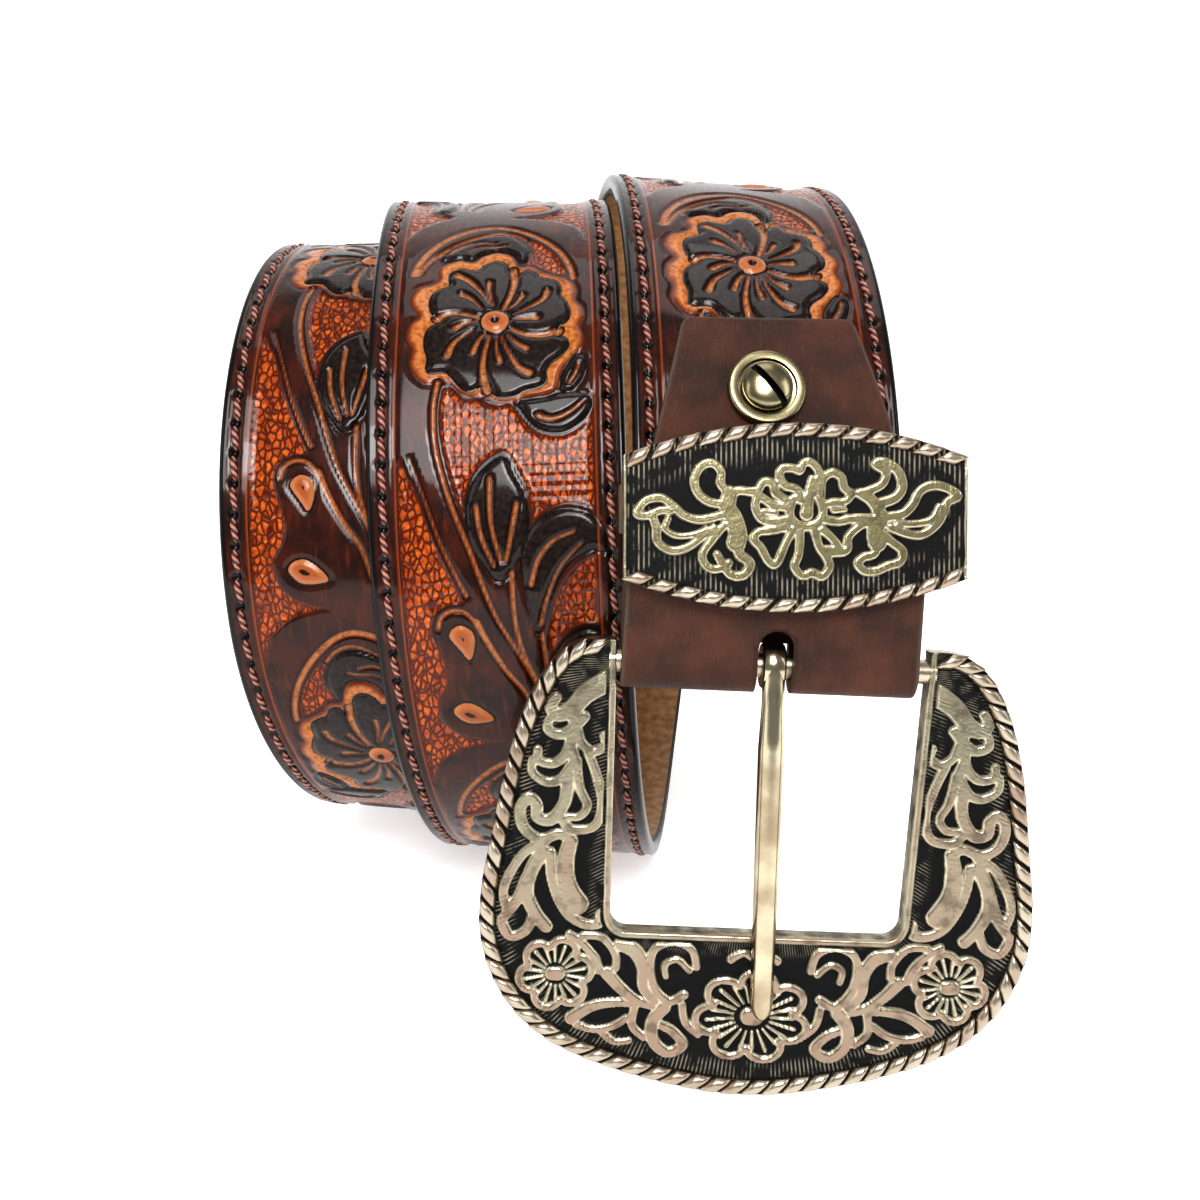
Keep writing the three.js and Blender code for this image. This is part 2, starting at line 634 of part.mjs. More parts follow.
function makeKeeper() {
  const steps = KEEPER.ropeCount;
  const rim = [];
  for (let i = 0; i <= steps; i += 1) {
    const x = THREE.MathUtils.lerp(-KEEPER_HALF, KEEPER_HALF, i / steps);
    rim.push([x, keeperRise(x)]);
  }
  const outline = rim.concat([...rim].reverse().map(([x, y]) => [x, -y]));
  const bodies = [outward(raised(outline, 0, KEEPER.plate))];
  const foot = KEEPER.plate - 0.4;
  for (const { head, tail, line } of KEEPER_SCROLLS) {
    for (const hand of [-1, 1]) {
      const points = line.map(([x, y]) => [(-hand * x * KEEPER_HALF) / 23.4, y]);
      bodies.push(outward(raised(scrollOutline(points, head, tail), foot, KEEPER.relief + 0.4)));
    }
  }
  const flower = flowerOutline(KEEPER_FLOWER.across, -KEEPER_FLOWER.drop, KEEPER_FLOWER.radius, KEEPER_FLOWER.petals);
  bodies.push(outward(raised(flower, foot, KEEPER.relief + 0.4)));
  for (const hand of [-1, 1]) {
    const along = (t) => THREE.MathUtils.lerp(-KEEPER_HALF, KEEPER_HALF, t);
    bodies.push(
      ...ropeSegments(
        (t) => ({ x: along(t), y: hand * keeperRise(along(t)) }),
        () => ({ x: 0, y: -hand }),
        KEEPER.ropeCount,
        KEEPER.ropeWidth,
        foot,
        KEEPER.rope + 0.4,
      ),
    );
  }
  // The loop behind is one bent strip. It leaves room for the leather's curve over its height.
  const curve = (KEEPER.stripRise + KEEPER.strip / 2) ** 2 / COIL.radius;
  const behind = CHAPE_TOP + CLEAR - (BACK_BOTTOM - CLEAR) + curve;
  const [a, b, c] = [KEEPER_HALF, KEEPER_INNER, KEEPER.bend];
  const root = 0.5;
  const half = [[a, root], [a, -behind - KEEPER.wall + c], [a - c, -behind - KEEPER.wall]];
  const inner = [[b, root], [b, -behind + CLEAR], [b - CLEAR, -behind]];
  const mirrored = (points) => [...points].reverse().map(([x, z]) => [-x, z]);
  const profile = [...half, ...mirrored(half), ...[...mirrored(inner)].reverse(), ...[...inner].reverse()];
  const strip = raised(profile, -KEEPER.strip / 2, KEEPER.strip).rotateX(Math.PI / 2);
  bodies.push(outward(strip.translate(0, KEEPER.stripRise, 0)));
  const seat = strapMatrix(KEEPER.seat, KEEPER_SHIFT, CHAPE_TOP + CLEAR);
  return joinAll(bodies).transform(seat.toArray());
}

// Screw, washer and post: one axis through the chape and the strap
const SCREW_MATRIX = strapMatrix(SCREW.seat, SCREW.shift, 0);

function turned(profile, sides = 28) {
  const points = profile.map(([x, y]) => new THREE.Vector2(x, y));
  points.push(points[0].clone());
  return outward(new THREE.LatheGeometry(points, sides).rotateX(Math.PI / 2));
}

function makeWasher() {
  const foot = CHAPE_TOP + CLEAR;
  const bore = SCREW.shank + CLEAR;
  const well = WASHER.radius - WASHER.rim;
  const body = turned([
    [bore, foot],
    [WASHER.radius, foot],
    [WASHER.radius, foot + WASHER.height * 0.8],
    [WASHER.radius - 0.3, foot + WASHER.height],
    [well, foot + WASHER.height],
    [well, foot + WASHER.base],
    [bore, foot + WASHER.base],
  ]);
  return body.transform(SCREW_MATRIX.toArray());
}

function makeScrew() {
  const foot = CHAPE_TOP + 2 * CLEAR + WASHER.base;
  const end = BACK_BOTTOM + CHAPE.wall;
  const profile = [
    [0, end],
    [SCREW.shank, end],
    [SCREW.shank, foot],
    [SCREW.head, foot],
    [SCREW.head, foot + 0.6],
    [SCREW.head * 0.86, foot + 0.6 + SCREW.dome * 0.5],
    [SCREW.head * 0.5, foot + 0.6 + SCREW.dome * 0.87],
    [0, foot + 0.6 + SCREW.dome],
  ];
  const body = outward(
    new THREE.LatheGeometry(profile.map(([x, y]) => new THREE.Vector2(x, y)), 28).rotateX(Math.PI / 2),
  );
  const slotAngle = 52 * RAD;
  const slot = new THREE.BoxGeometry(SCREW.head * 3, SCREW.slot, SCREW.dome * 2)
    .rotateZ(-slotAngle)
    .translate(0, 0, foot + 0.6 + SCREW.dome * 1.25);
  return body.subtract(outward(slot)).transform(SCREW_MATRIX.toArray());
}

function makePost() {
  const back = BACK_BOTTOM - CLEAR * 1.5;
  const top = CHAPE_TOP - CLEAR;
  const body = turned([
    [POST.bore, top],
    [POST.tube, top],
    [POST.tube, back],
    [POST.flange, back],
    [POST.flange, back - POST.flangeHeight],
    [POST.bore, back - POST.flangeHeight],
  ]);
  return body.transform(SCREW_MATRIX.toArray());
}

// Each piece with its colour and finish
const PIECES = [
  { name: "strap", make: makeStrap, color: "#7a3216", roughness: 0.42, metalness: 0 },
  { name: "lining", make: makeLining, color: "#b98d61", roughness: 0.7, metalness: 0 },
  { name: "chape", make: makeChape, color: "#4a2c22", roughness: 0.6, metalness: 0 },
  { name: "buckle_frame", make: makeFrame, color: "#b9ab8c", roughness: 0.35, metalness: 1 },
  { name: "tongue", make: makeTongue, color: "#c9bb97", roughness: 0.3, metalness: 1 },
  { name: "keeper", make: makeKeeper, color: "#bfb088", roughness: 0.35, metalness: 1 },
  { name: "screw", make: makeScrew, color: "#a79a78", roughness: 0.25, metalness: 1 },
  { name: "screw_washer", make: makeWasher, color: "#9a8d6c", roughness: 0.35, metalness: 1 },
  { name: "screw_post", make: makePost, color: "#9a8d6c", roughness: 0.4, metalness: 1 },
];

const belt = new THREE.Group();
for (const { name, make, color, roughness, metalness } of PIECES) {
  const material = new THREE.MeshStandardMaterial({ color, roughness, metalness });
  const mesh = new THREE.Mesh(geometryOf(make()), material);
  mesh.name = name;
  belt.add(mesh);
}
// The origin moves to the bottom centre of everything.
const box = new THREE.Box3().setFromObject(belt);
const centre = box.getCenter(new THREE.Vector3());
belt.position.set(-centre.x, -centre.y, -box.min.z);

export default belt;
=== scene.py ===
# %% [markdown]
# A rolled western belt. The CAD frame gives every size and place, and this file gives the looks:
# the tooled and painted leather, the thread, the cast metal and the plain leather of the fold.
# All lengths are worked out in millimetres and become metres when a mesh is made.

import math

import bpy
import numpy as np
from mathutils import Matrix, Vector


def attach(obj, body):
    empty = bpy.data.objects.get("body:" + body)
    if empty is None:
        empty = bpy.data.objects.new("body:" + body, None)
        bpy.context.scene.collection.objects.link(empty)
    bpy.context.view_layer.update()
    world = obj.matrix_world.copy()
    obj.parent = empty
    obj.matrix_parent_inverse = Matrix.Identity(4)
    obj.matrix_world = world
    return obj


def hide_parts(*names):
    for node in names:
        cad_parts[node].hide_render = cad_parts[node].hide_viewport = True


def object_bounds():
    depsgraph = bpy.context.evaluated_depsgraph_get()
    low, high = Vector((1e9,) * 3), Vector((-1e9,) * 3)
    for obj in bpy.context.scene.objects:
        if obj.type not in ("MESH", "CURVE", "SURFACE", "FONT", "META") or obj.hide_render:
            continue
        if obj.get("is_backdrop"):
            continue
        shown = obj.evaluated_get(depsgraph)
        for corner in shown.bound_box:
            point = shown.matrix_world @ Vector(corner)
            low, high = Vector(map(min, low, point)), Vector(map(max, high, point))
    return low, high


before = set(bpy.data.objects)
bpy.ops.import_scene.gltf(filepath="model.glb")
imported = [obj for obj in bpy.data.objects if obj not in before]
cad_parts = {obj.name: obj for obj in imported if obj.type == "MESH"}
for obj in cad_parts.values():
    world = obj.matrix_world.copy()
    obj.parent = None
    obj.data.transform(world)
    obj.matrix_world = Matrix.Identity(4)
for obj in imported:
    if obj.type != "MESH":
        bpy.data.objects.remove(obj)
cad_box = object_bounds()
MM = 0.001
print("frame nodes:", sorted(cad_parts))

# %% [markdown]
# Every piece here is a skin over rings or a grid of points, so one small maker turns arrays of
# points and faces into a mesh. Filling Blender's own arrays is far quicker than adding faces one
# by one. A closed skin has a positive volume if its faces point out, so the maker measures the
# volume and turns the faces round where it is negative.


# %% Mesh maker
def volume_of(points, quads):
    a, b, c, d = (points[quads[:, k]] for k in range(4))
    return float((np.cross(a, b) * c).sum() + (np.cross(a, c) * d).sum()) / 6


def make_piece(name, points, quads, lids=()):
    """A mesh object from points in mm, four-sided faces and many-sided lids."""
    points = np.asarray(points, float)
    quads = np.asarray(quads, int)
    if volume_of(points - points.mean(0), quads) < 0:
        quads = quads[:, ::-1]
        lids = [list(lid)[::-1] for lid in lids]
    corners = np.concatenate([quads.ravel(), *[np.asarray(lid, int) for lid in lids]])
    sizes = np.concatenate([np.full(len(quads), 4), [len(lid) for lid in lids]]).astype(int)
    starts = np.concatenate([[0], np.cumsum(sizes)[:-1]]).astype(np.int32)
    mesh = bpy.data.meshes.new(name)
    mesh.vertices.add(len(points))
    mesh.vertices.foreach_set("co", (points * MM).astype(np.float32).ravel())
    mesh.loops.add(len(corners))
    mesh.loops.foreach_set("vertex_index", corners.astype(np.int32))
    mesh.polygons.add(len(sizes))
    mesh.polygons.foreach_set("loop_start", starts)
    mesh.polygons.foreach_set("use_smooth", np.ones(len(sizes), bool))
    mesh.update(calc_edges=True)
    mesh.validate()
    piece = bpy.data.objects.new(name, mesh)
    bpy.context.scene.collection.objects.link(piece)
    return piece


def write_value(piece, name, values):
    """A number, or three numbers, kept on each vertex for the material to read."""
    values = np.asarray(values, np.float32)
    kind, key = ("FLOAT", "value") if values.ndim == 1 else ("FLOAT_VECTOR", "vector")
    piece.data.attributes.new(name, kind, "POINT").data.foreach_set(key, values.ravel())


def write_place(piece, name, x, y, z):
    """Where each vertex lies on its own flat drawing, in cm."""
    spots = np.stack(np.broadcast_arrays(x, y, z), -1)
    write_value(piece, name, spots.reshape(-1, 3) / 10)


def tube_faces(rings, count):
    """Faces of a skin through rings of points, each ring closed in itself."""
    i, j = np.meshgrid(np.arange(rings - 1), np.arange(count), indexing="ij")
    a = i * count + j
    b = i * count + (j + 1) % count
    return np.stack([a, b, b + count, a + count], -1).reshape(-1, 4)


def tube_piece(name, rings):
    """A closed piece through rings of points, an array of rings x points x 3."""
    rings = np.asarray(rings, float)
    count = rings.shape[1]
    last = (len(rings) - 1) * count
    lids = [list(range(count))[::-1], list(range(last, last + count))]
    return make_piece(name, rings.reshape(-1, 3), tube_faces(len(rings), count), lids)


# %% [markdown]
# The strap lies on a spiral that drifts to the left and leans as it is wound. The table repeats
# the CAD's own quarter turns, so the looks land where the solids are. A smooth curve through the
# rows gives any turn, and a long list of samples, each with its length from the buckle's bar,
# turns a place on the leather into a point in space.

# %% Route of the strap
PLACE = np.array([-3.641, 9.369, -0.066])  # moves the CAD's working frame to the part's origin
STRAP_WIDTH, FACE, BOND, LINING = 38, 2.25, 0.25, 1
THICK = FACE + BOND + LINING
STRAP_LENGTH, STRAP_START, TIP, CHAPE_LEG = 1150, 12, 26, 50.8
RADIUS, AIR, LEAD = 66.1, 2.15, math.radians(12.6)
CLEAR, CUP, FRAME_REACH, FRAME_BACK = 0.3, 0.35, 64.8, 1.7
# Turn, bulge, shift and lean
COIL = np.array([
    [-0.25, 0.05, 0.66, -3.4], [0, 0.037, 0.643, -2.3], [0.25, -0.003, 0.492, -1.1],
    [0.5, 0.019, 0.266, -0.4], [0.75, -0.008, -0.031, 0], [1, 0.001, -0.35, 2.7],
    [1.25, 0.006, -0.515, 3.1], [1.5, 0.001, -0.693, 3.5], [1.75, -0.012, -0.64, 3.8],
    [2, -0.006, -0.979, 4.2], [2.25, -0.029, -1.025, 4.2], [2.5, 0, -0.817, 4.2],
    [2.75, -0.021, -0.79, 4.2], [3, -0.015, -0.87, 4.2], [3.25, -0.01, -0.9, 4.2],
    [3.5, -0.01, -0.9, 4.2],
])


def through(a, b, c, d, t):
    """A smooth way from b to c, with a before them and d after them."""
    bend = (2 * a - 5 * b + 4 * c - d) * t**2 + (3 * b - a - 3 * c + d) * t**3
    return 0.5 * (2 * b + (c - a) * t + bend)


def coil_column(column, turn):
    rows = len(COIL)
    i = np.clip(np.searchsorted(COIL[:, 0], turn) - 1, 1, rows - 3)
    t = (turn - COIL[i, 0]) / (COIL[i + 1, 0] - COIL[i, 0])
    return through(*(COIL[np.minimum(i + k, rows - 1), column] for k in (-1, 0, 1, 2)), t)


def coil_radius(turn):
    return RADIUS * (1 + coil_column(1, turn)) - (THICK + AIR) * turn


def unit(v):
    return v / np.linalg.norm(v, axis=-1, keepdims=True)


AXIS_HEIGHT = float(coil_radius(np.array([0.75]))[0]) + CUP


def coil_point(turn):
    r, angle = coil_radius(turn), turn * 2 * np.pi
    x = coil_column(2, turn) * STRAP_WIDTH
    return np.stack([x, -r * np.cos(angle), AXIS_HEIGHT + r * np.sin(angle)], -1)


def coil_frame(turn):
    step = 0.5 / 360
    along = unit(coil_point(turn + step) - coil_point(turn - step))
    angle = turn * 2 * np.pi
    out = np.stack([np.zeros_like(angle), -np.cos(angle), np.sin(angle)], -1)
    across = unit(np.cross(out, along))
    across *= np.where(across[:, :1] < 0, -1, 1)
    lean = np.radians(coil_column(3, turn))[:, None]
    return (
        coil_point(turn),
        across * np.cos(lean) + out * np.sin(lean),
        out * np.cos(lean) - across * np.sin(lean),
    )


# %% [markdown]
# Below the spiral, the leather hangs straight from the first turn to the buckle's bar, and the
# bar is as far up as the leaning frame needs to stand on the table. The samples start at the bar,
# so every place on the strap is a plain length in mm, as on a tape laid along the leather.

# %% Places on the strap
BUCKLE_OUT = np.array([0, -math.cos(LEAD), math.sin(LEAD)])
BUCKLE_UP = np.array([0, math.sin(LEAD), math.cos(LEAD)])
turns = np.arange(LEAD / (2 * np.pi), 3.45, 0.2 / 360)
points, acrosses, outs = coil_frame(turns)
rim_depth = FRAME_REACH * math.cos(LEAD) + FRAME_BACK * math.sin(LEAD) + 0.15
lead_run = (points[0, 2] - THICK / 2 * math.sin(LEAD) - rim_depth) / math.cos(LEAD)
bar_front = points[0] - BUCKLE_UP * lead_run
points = np.vstack([bar_front, points])
acrosses = np.vstack([[1, 0, 0], acrosses])
outs = np.vstack([BUCKLE_OUT, outs])
lengths = np.concatenate([[0], np.cumsum(np.linalg.norm(np.diff(points, axis=0), axis=1))])
BAR = bar_front - BUCKLE_OUT * THICK / 2
print("route", round(float(lengths[-1])), "mm, straight lead", round(lead_run, 2), "mm")


def at(s):
    """Middle of the strap's outer face, the direction across it and the one out of it."""
    def column(table):
        return np.stack([np.interp(s, lengths, table[:, k]) for k in range(3)], -1)

    return column(points), unit(column(acrosses)), unit(column(outs))


def on_strap(s, across, lift):
    """Points in mm in the part's frame for arrays of length, offset and lift."""
    p, a, o = at(s)
    return p + a * np.asarray(across)[..., None] + o * np.asarray(lift)[..., None] + PLACE


def smoothstep(x, low, high):
    t = np.clip((np.asarray(x, float) - low) / (high - low), 0, 1)
    return t * t * (3 - 2 * t)


def strap_half(s):
    k = np.clip(1 - (STRAP_LENGTH - np.asarray(s, float)) / TIP, 0, 0.995)
    return STRAP_WIDTH / 2 * np.sqrt(1 - k * k)


def cup_lift(s, across):
    return CUP * smoothstep(s, CHAPE_LEG, CHAPE_LEG * 1.8) * (across / (STRAP_WIDTH / 2)) ** 2


# %% [markdown]
# Tooled leather and cast scrolls are drawings with depth. Each drawing is a short list of points
# in real millimetres: closed shapes for leaves and petals, and strokes for veins and stems. For
# every spot of a fine grid the script measures how far inside or outside the drawing it lies. That
# one number moves the mesh up or down and also tells the material where a colour starts, so
# carved edges and painted edges always agree.


# %% Drawing tools
def smooth_line(line, closed=False, spans=7):
    p = np.asarray(line, float)
    p = np.vstack([p[-1:], p, p[:2]]) if closed else np.vstack([p[:1], p, p[-1:]])
    a, b, c, d = (x[:, None, :] for x in (p[:-3], p[1:-2], p[2:-1], p[3:]))
    t = (np.arange(spans) / spans)[None, :, None]
    curve = through(a, b, c, d, t).reshape(-1, p.shape[1])
    return np.vstack([curve, curve[:1] if closed else p[-1:]])


def near(grid, line, margin):
    """The part of the grid round a line, and the places of its points."""
    x, y = grid
    rows = slice(*np.searchsorted(y, [line[:, 1].min() - margin, line[:, 1].max() + margin]))
    columns = slice(*np.searchsorted(x, [line[:, 0].min() - margin, line[:, 0].max() + margin]))
    return (rows, columns), *np.meshgrid(x[columns], y[rows])


def distance_to(line, x, y, head=0.0, tail=0.0):
    """Distance to a line less half its width there, which runs from head to tail."""
    best = np.full(x.shape, 1e9)
    for k, ((ax, ay), (bx, by)) in enumerate(zip(line[:-1], line[1:])):
        dx, dy = bx - ax, by - ay
        t = np.clip(((x - ax) * dx + (y - ay) * dy) / max(dx * dx + dy * dy, 1e-9), 0, 1)
        width = head + (tail - head) * (k + t) / (len(line) - 1)
        best = np.minimum(best, np.hypot(x - ax - t * dx, y - ay - t * dy) - width / 2)
    return best


def inside(line, x, y):
    """True where a spot lies within a closed line, by the crossings on its left."""
    hit = np.zeros(x.shape, bool)
    for (ax, ay), (bx, by) in zip(line[:-1], line[1:]):
        if ay != by:
            hit ^= ((ay > y) != (by > y)) & (x < (bx - ax) * (y - ay) / (by - ay) + ax)
    return hit


MARGIN = 3.0


def add_shape(grid, field, line):
    """Raises the field to the depth inside a closed shape, in mm."""
    ring = smooth_line(line, True)
    box, x, y = near(grid, ring, MARGIN)
    depth = distance_to(ring, x, y)
    field[box] = np.maximum(field[box], np.where(inside(ring, x, y), depth, -depth))


def add_stroke(grid, field, line, head, tail):
    """Raises the field to the depth inside a stroke that is head wide at first and tail at last."""
    line = smooth_line(line)
    box, x, y = near(grid, line, MARGIN)
    field[box] = np.maximum(field[box], -distance_to(line, x, y, head, tail))


def sample(grid, field, x, y):
    """The field at any spot, straight between the grid's points."""
    step_x, step_y = grid[0][1] - grid[0][0], grid[1][1] - grid[1][0]
    u = np.clip((x - grid[0][0]) / step_x, 0, len(grid[0]) - 1.001)
    v = np.clip((y - grid[1][0]) / step_y, 0, len(grid[1]) - 1.001)
    i, j = v.astype(int), u.astype(int)
    u, v = u - j, v - i
    low = field[i, j] * (1 - u) + field[i, j + 1] * u
    return low * (1 - v) + (field[i + 1, j] * (1 - u) + field[i + 1, j + 1] * u) * v


# %% [markdown]
# The leather carries the floral scroll of western saddlery: an open flower, a scalloped border
# round it, a long arch of leaf above, then a bud, a curled leaf and a leaf with two seeds on
# their stems. The same drawing comes again each 96.4 mm, turned over from side to side each time,
# as a tooler does with one template. Points are across and along the strap, in mm.

# %% Drawing of the leather
FLOWER_AT = 83.7  # height of the flower's middle in the drawing
REPEAT = 96.4
FLOWER = [
    (-2.7, 95.2), (-1.6, 96.8), (0, 97.6), (1.5, 96.7), (2.2, 94.6), (3.2, 93.2), (4.5, 94.9),
    (5.9, 94.4), (6.7, 93.1), (8, 92.6), (9.4, 91.8), (9.9, 90.2), (9.8, 88.7), (10.7, 87.2),
    (11.2, 85.2), (10.7, 83.6), (9.3, 82.4), (9.4, 80.8), (10.5, 80.2), (10.8, 78.9),
    (9.7, 77.3), (8.2, 76.1), (7.4, 74.6), (7.5, 73), (6.4, 72.2), (4.5, 71.8), (2.6, 70.9),
    (0.6, 70.9), (-0.5, 72), (-1.4, 73.3), (-2.6, 72.5), (-3.5, 71.9), (-4.6, 72.3),
    (-5.8, 73.6), (-7.2, 75.1), (-9.9, 75.2), (-9.9, 77.5), (-10.4, 79.6), (-10.3, 81.8),
    (-9.4, 83.3), (-7.9, 84.4), (-9.4, 85.7), (-9.9, 87.8), (-9.5, 89.9), (-8.2, 91),
    (-7, 91.7), (-7.1, 93.2), (-6.9, 94.9), (-5.6, 95.7), (-4, 95.4),
]
BAND = [
    (-3.6, 97.5), (-2.4, 99), (-0.2, 100), (2.1, 99.4), (3.2, 97.6), (3.7, 96), (5.6, 95.9),
    (7.1, 94.4), (9.2, 93.3), (11.3, 92.1), (12.3, 89.7), (12.1, 87.6), (13.1, 86),
    (13.4, 84.2), (12.7, 82.3), (13.3, 80.2), (12.7, 78), (11.3, 76.2), (9.9, 74.5),
    (9.5, 72.3), (7.8, 71), (5, 70.6), (2.5, 69.7), (0.2, 70), (-1.4, 70.8), (-3.2, 70.8),
    (-4.7, 71.3), (-6.5, 73.1), (-8.2, 73.5), (-9.8, 73), (-11.4, 74), (-12.6, 76.4),
    (-12.3, 78.9), (-13.2, 81), (-12.8, 83.6), (-11.5, 85.2), (-12.5, 86.8), (-12.9, 89.1),
    (-11.7, 91.3), (-9.8, 92), (-8.7, 93.3), (-9, 95.3), (-7.8, 97.2), (-5.6, 98.1),
]

# %% [markdown]
# The black parts are leaves and the flower itself. Each leaf is one closed shape, and the long
# points of a leaf are points that lie close together.

# %% Leaves of the leather
LEAVES = [
    # leaf that lies over the flower
    [(-8.5, 97.9), (-8.6, 99.5), (-6.4, 102.2), (-3.6, 104.2), (-0.8, 105.4), (1.8, 105.2),
     (3.8, 103.4), (4.9, 100.8), (4.7, 98.2), (3.8, 96.5), (3.3, 98.2), (2.3, 99.8),
     (-0.2, 100.6), (-2.6, 99.4), (-3.6, 98.2), (-5.6, 98.8), (-7.6, 98)],
    # two small leaves under it
    [(3.5, 70), (4.4, 68), (6.4, 65.8), (9.5, 65.1), (12.2, 66.4), (14, 68.8), (13.4, 70.6),
     (10.4, 70.9), (7.6, 70.4), (5.2, 70.1)],
    [(9.8, 71.8), (10.2, 74.6), (12.2, 77.4), (13.4, 76.2), (12.9, 73.4), (11.2, 71.4)],
    # bud
    [(1.4, 61.5), (-0.8, 60.6), (-2.7, 58.6), (-4, 55.6), (-4.3, 52), (-3.6, 48.8), (-2, 46),
     (-0.3, 43.8), (1.2, 44.4), (2.8, 47), (4, 50), (4.4, 53), (3.8, 56.4), (2.5, 59)],
    # curled leaf
    [(3.8, 42.6), (3.4, 46.5), (4.5, 50), (7, 52.7), (10, 53.6), (13, 53), (15.2, 50.8),
     (15.5, 47.6), (13.8, 48), (11, 46.6), (9, 44.4), (7.6, 41.6), (6.6, 38.4), (5.5, 35.4),
     (4.6, 38.6)],
    # lower curled leaf
    [(7, 25), (7.2, 30), (8.9, 33.6), (11.2, 35.5), (13.8, 35.6), (15.2, 33.8), (14, 32.4),
     (12, 31.6), (10.6, 29.4), (10, 26), (10.2, 21.6), (8.4, 20.4)],
]

# %% [markdown]
# Veins lie in the leaves and petals, and lines run through the brown between the leaves. Both are
# strokes: a row of points, the width at its head and the width at its tail.

# %% Veins and lines of the leather
VEINS = [
    ([(2.7, 95), (2.9, 92), (2.2, 88.6), (1.3, 86.2)], 1.5, 0.9),
    ([(9.6, 81.6), (7, 80.9), (4.4, 81.2), (2.3, 82.4)], 1.5, 0.8),
    ([(-1.1, 71.8), (-1.7, 74.4), (-1.6, 77.5), (-0.7, 81.4)], 1.5, 0.7),
    ([(-9, 84.6), (-7, 85.5), (-4.5, 85.3), (-2.4, 84.6)], 1.2, 0.8),
    ([(-7, 77.8), (-5.9, 80.2), (-3.1, 82.4)], 1.4, 0.5),
    ([(-6, 82.6), (-4.5, 83.6), (-2.6, 83.8)], 1.3, 0.5),
    ([(-3.2, 78.2), (-2.4, 80.3), (-1.2, 81.9)], 1.2, 0.5),
    ([(-6, 94), (-4, 92.4), (-2, 89.6), (-0.8, 87)], 1.4, 0.5),
    ([(-5.2, 89.5), (-3.6, 88.4), (-2, 86.4)], 1.3, 0.5),
    ([(-1, 92), (-0.9, 90), (-0.2, 87)], 1.1, 0.5),
    ([(7.9, 89.6), (7.2, 87.9), (5, 86.3), (2.7, 85)], 1.3, 0.4),
    ([(4.1, 88.9), (3.2, 87.3), (1.9, 85.9)], 1.1, 0.4),
    ([(6.2, 84.2), (4.6, 84.2), (2.6, 84)], 1.3, 0.5),
    ([(5.1, 74.4), (3.4, 75.6), (1.9, 78.4), (1, 81)], 1.4, 0.5),
    ([(4.7, 78.6), (3.2, 79.7), (1.8, 81.4)], 1.2, 0.5),
    ([(0.8, 76.4), (0.3, 78.6), (0.3, 81.2)], 1.1, 0.4),
    ([(-7.4, 99.9), (-5.2, 101.9), (-2.8, 102.9), (-0.2, 102.6)], 0.9, 0.7),
    ([(-4.6, 100.1), (-2.8, 101.3), (-0.4, 101.4), (1.4, 101.8)], 0.5, 0.8),
    ([(6.3, 67.6), (8.4, 67), (11, 68), (13.2, 69.8)], 1.1, 0.7),
    ([(11, 72.6), (12, 74.2), (12.5, 76)], 0.8, 0.7),
    ([(-3, 54.4), (-2.4, 50), (-0.7, 45.6)], 1, 0.8),
    ([(-0.9, 58.4), (-0.9, 52), (0.3, 46.4)], 1, 0.8),
    ([(2.9, 54.6), (2, 50.4), (1.1, 46.4)], 1, 0.8),
    ([(11.2, 50.4), (8, 49.1), (5.7, 46.4), (4.6, 42.8)], 0.7, 1),
    ([(12.2, 48.7), (9, 45.4), (6.9, 41), (5.6, 36.6)], 0.6, 0.9),
    ([(13, 33.8), (10.8, 32.6), (9.2, 29.6), (8.6, 25)], 0.7, 0.9),
]
LINES = [
    ([(-12.7, 94.4), (-11.5, 98.6), (-8.9, 103.2), (-5.3, 107), (-1, 108.7), (2.6, 107.8),
      (6.5, 104.5), (9.6, 100.2), (11.3, 96), (11.9, 92.6)], 1.4, 1.1),
    ([(-12, 94.4), (-9.9, 98.6), (-6.8, 102.4), (-3.4, 105), (0, 106.4), (2.8, 105.6),
      (4.6, 103.8)], 0.9, 0.8),
    ([(-8.4, 73.4), (-9, 69), (-8.7, 63), (-7, 56), (-5.2, 50.8), (-3.9, 47.2), (-2.4, 42.4),
      (-0.8, 38), (1, 34.4), (2.9, 30.6), (4.4, 27), (5.2, 22)], 1, 0.8),
    ([(-12.6, 62), (-10.7, 56.4), (-8.6, 49.8), (-6.5, 44.6), (-5, 41.4)], 0.5, 0.9),
    ([(-3.8, 37.4), (-2.4, 34.2), (0, 29.6), (2.6, 25.6), (4, 21)], 1.3, 0.8),
    ([(1.8, 44.6), (1.8, 40), (2.1, 36), (2.9, 32.2), (4.4, 28)], 1, 0.8),
    ([(5.8, 35.2), (6.1, 31), (6.3, 27), (6.8, 22)], 0.9, 0.8),
    ([(-9.6, 36.4), (-9, 38.2), (-7.4, 39.2), (-5.4, 38.9), (-4, 37.4)], 0.9, 0.9),
]

# %% [markdown]
# The fields that the stamp beats down are closed shapes too, and so are the seeds. A field may run
# past the scored line, as it is cut there later.

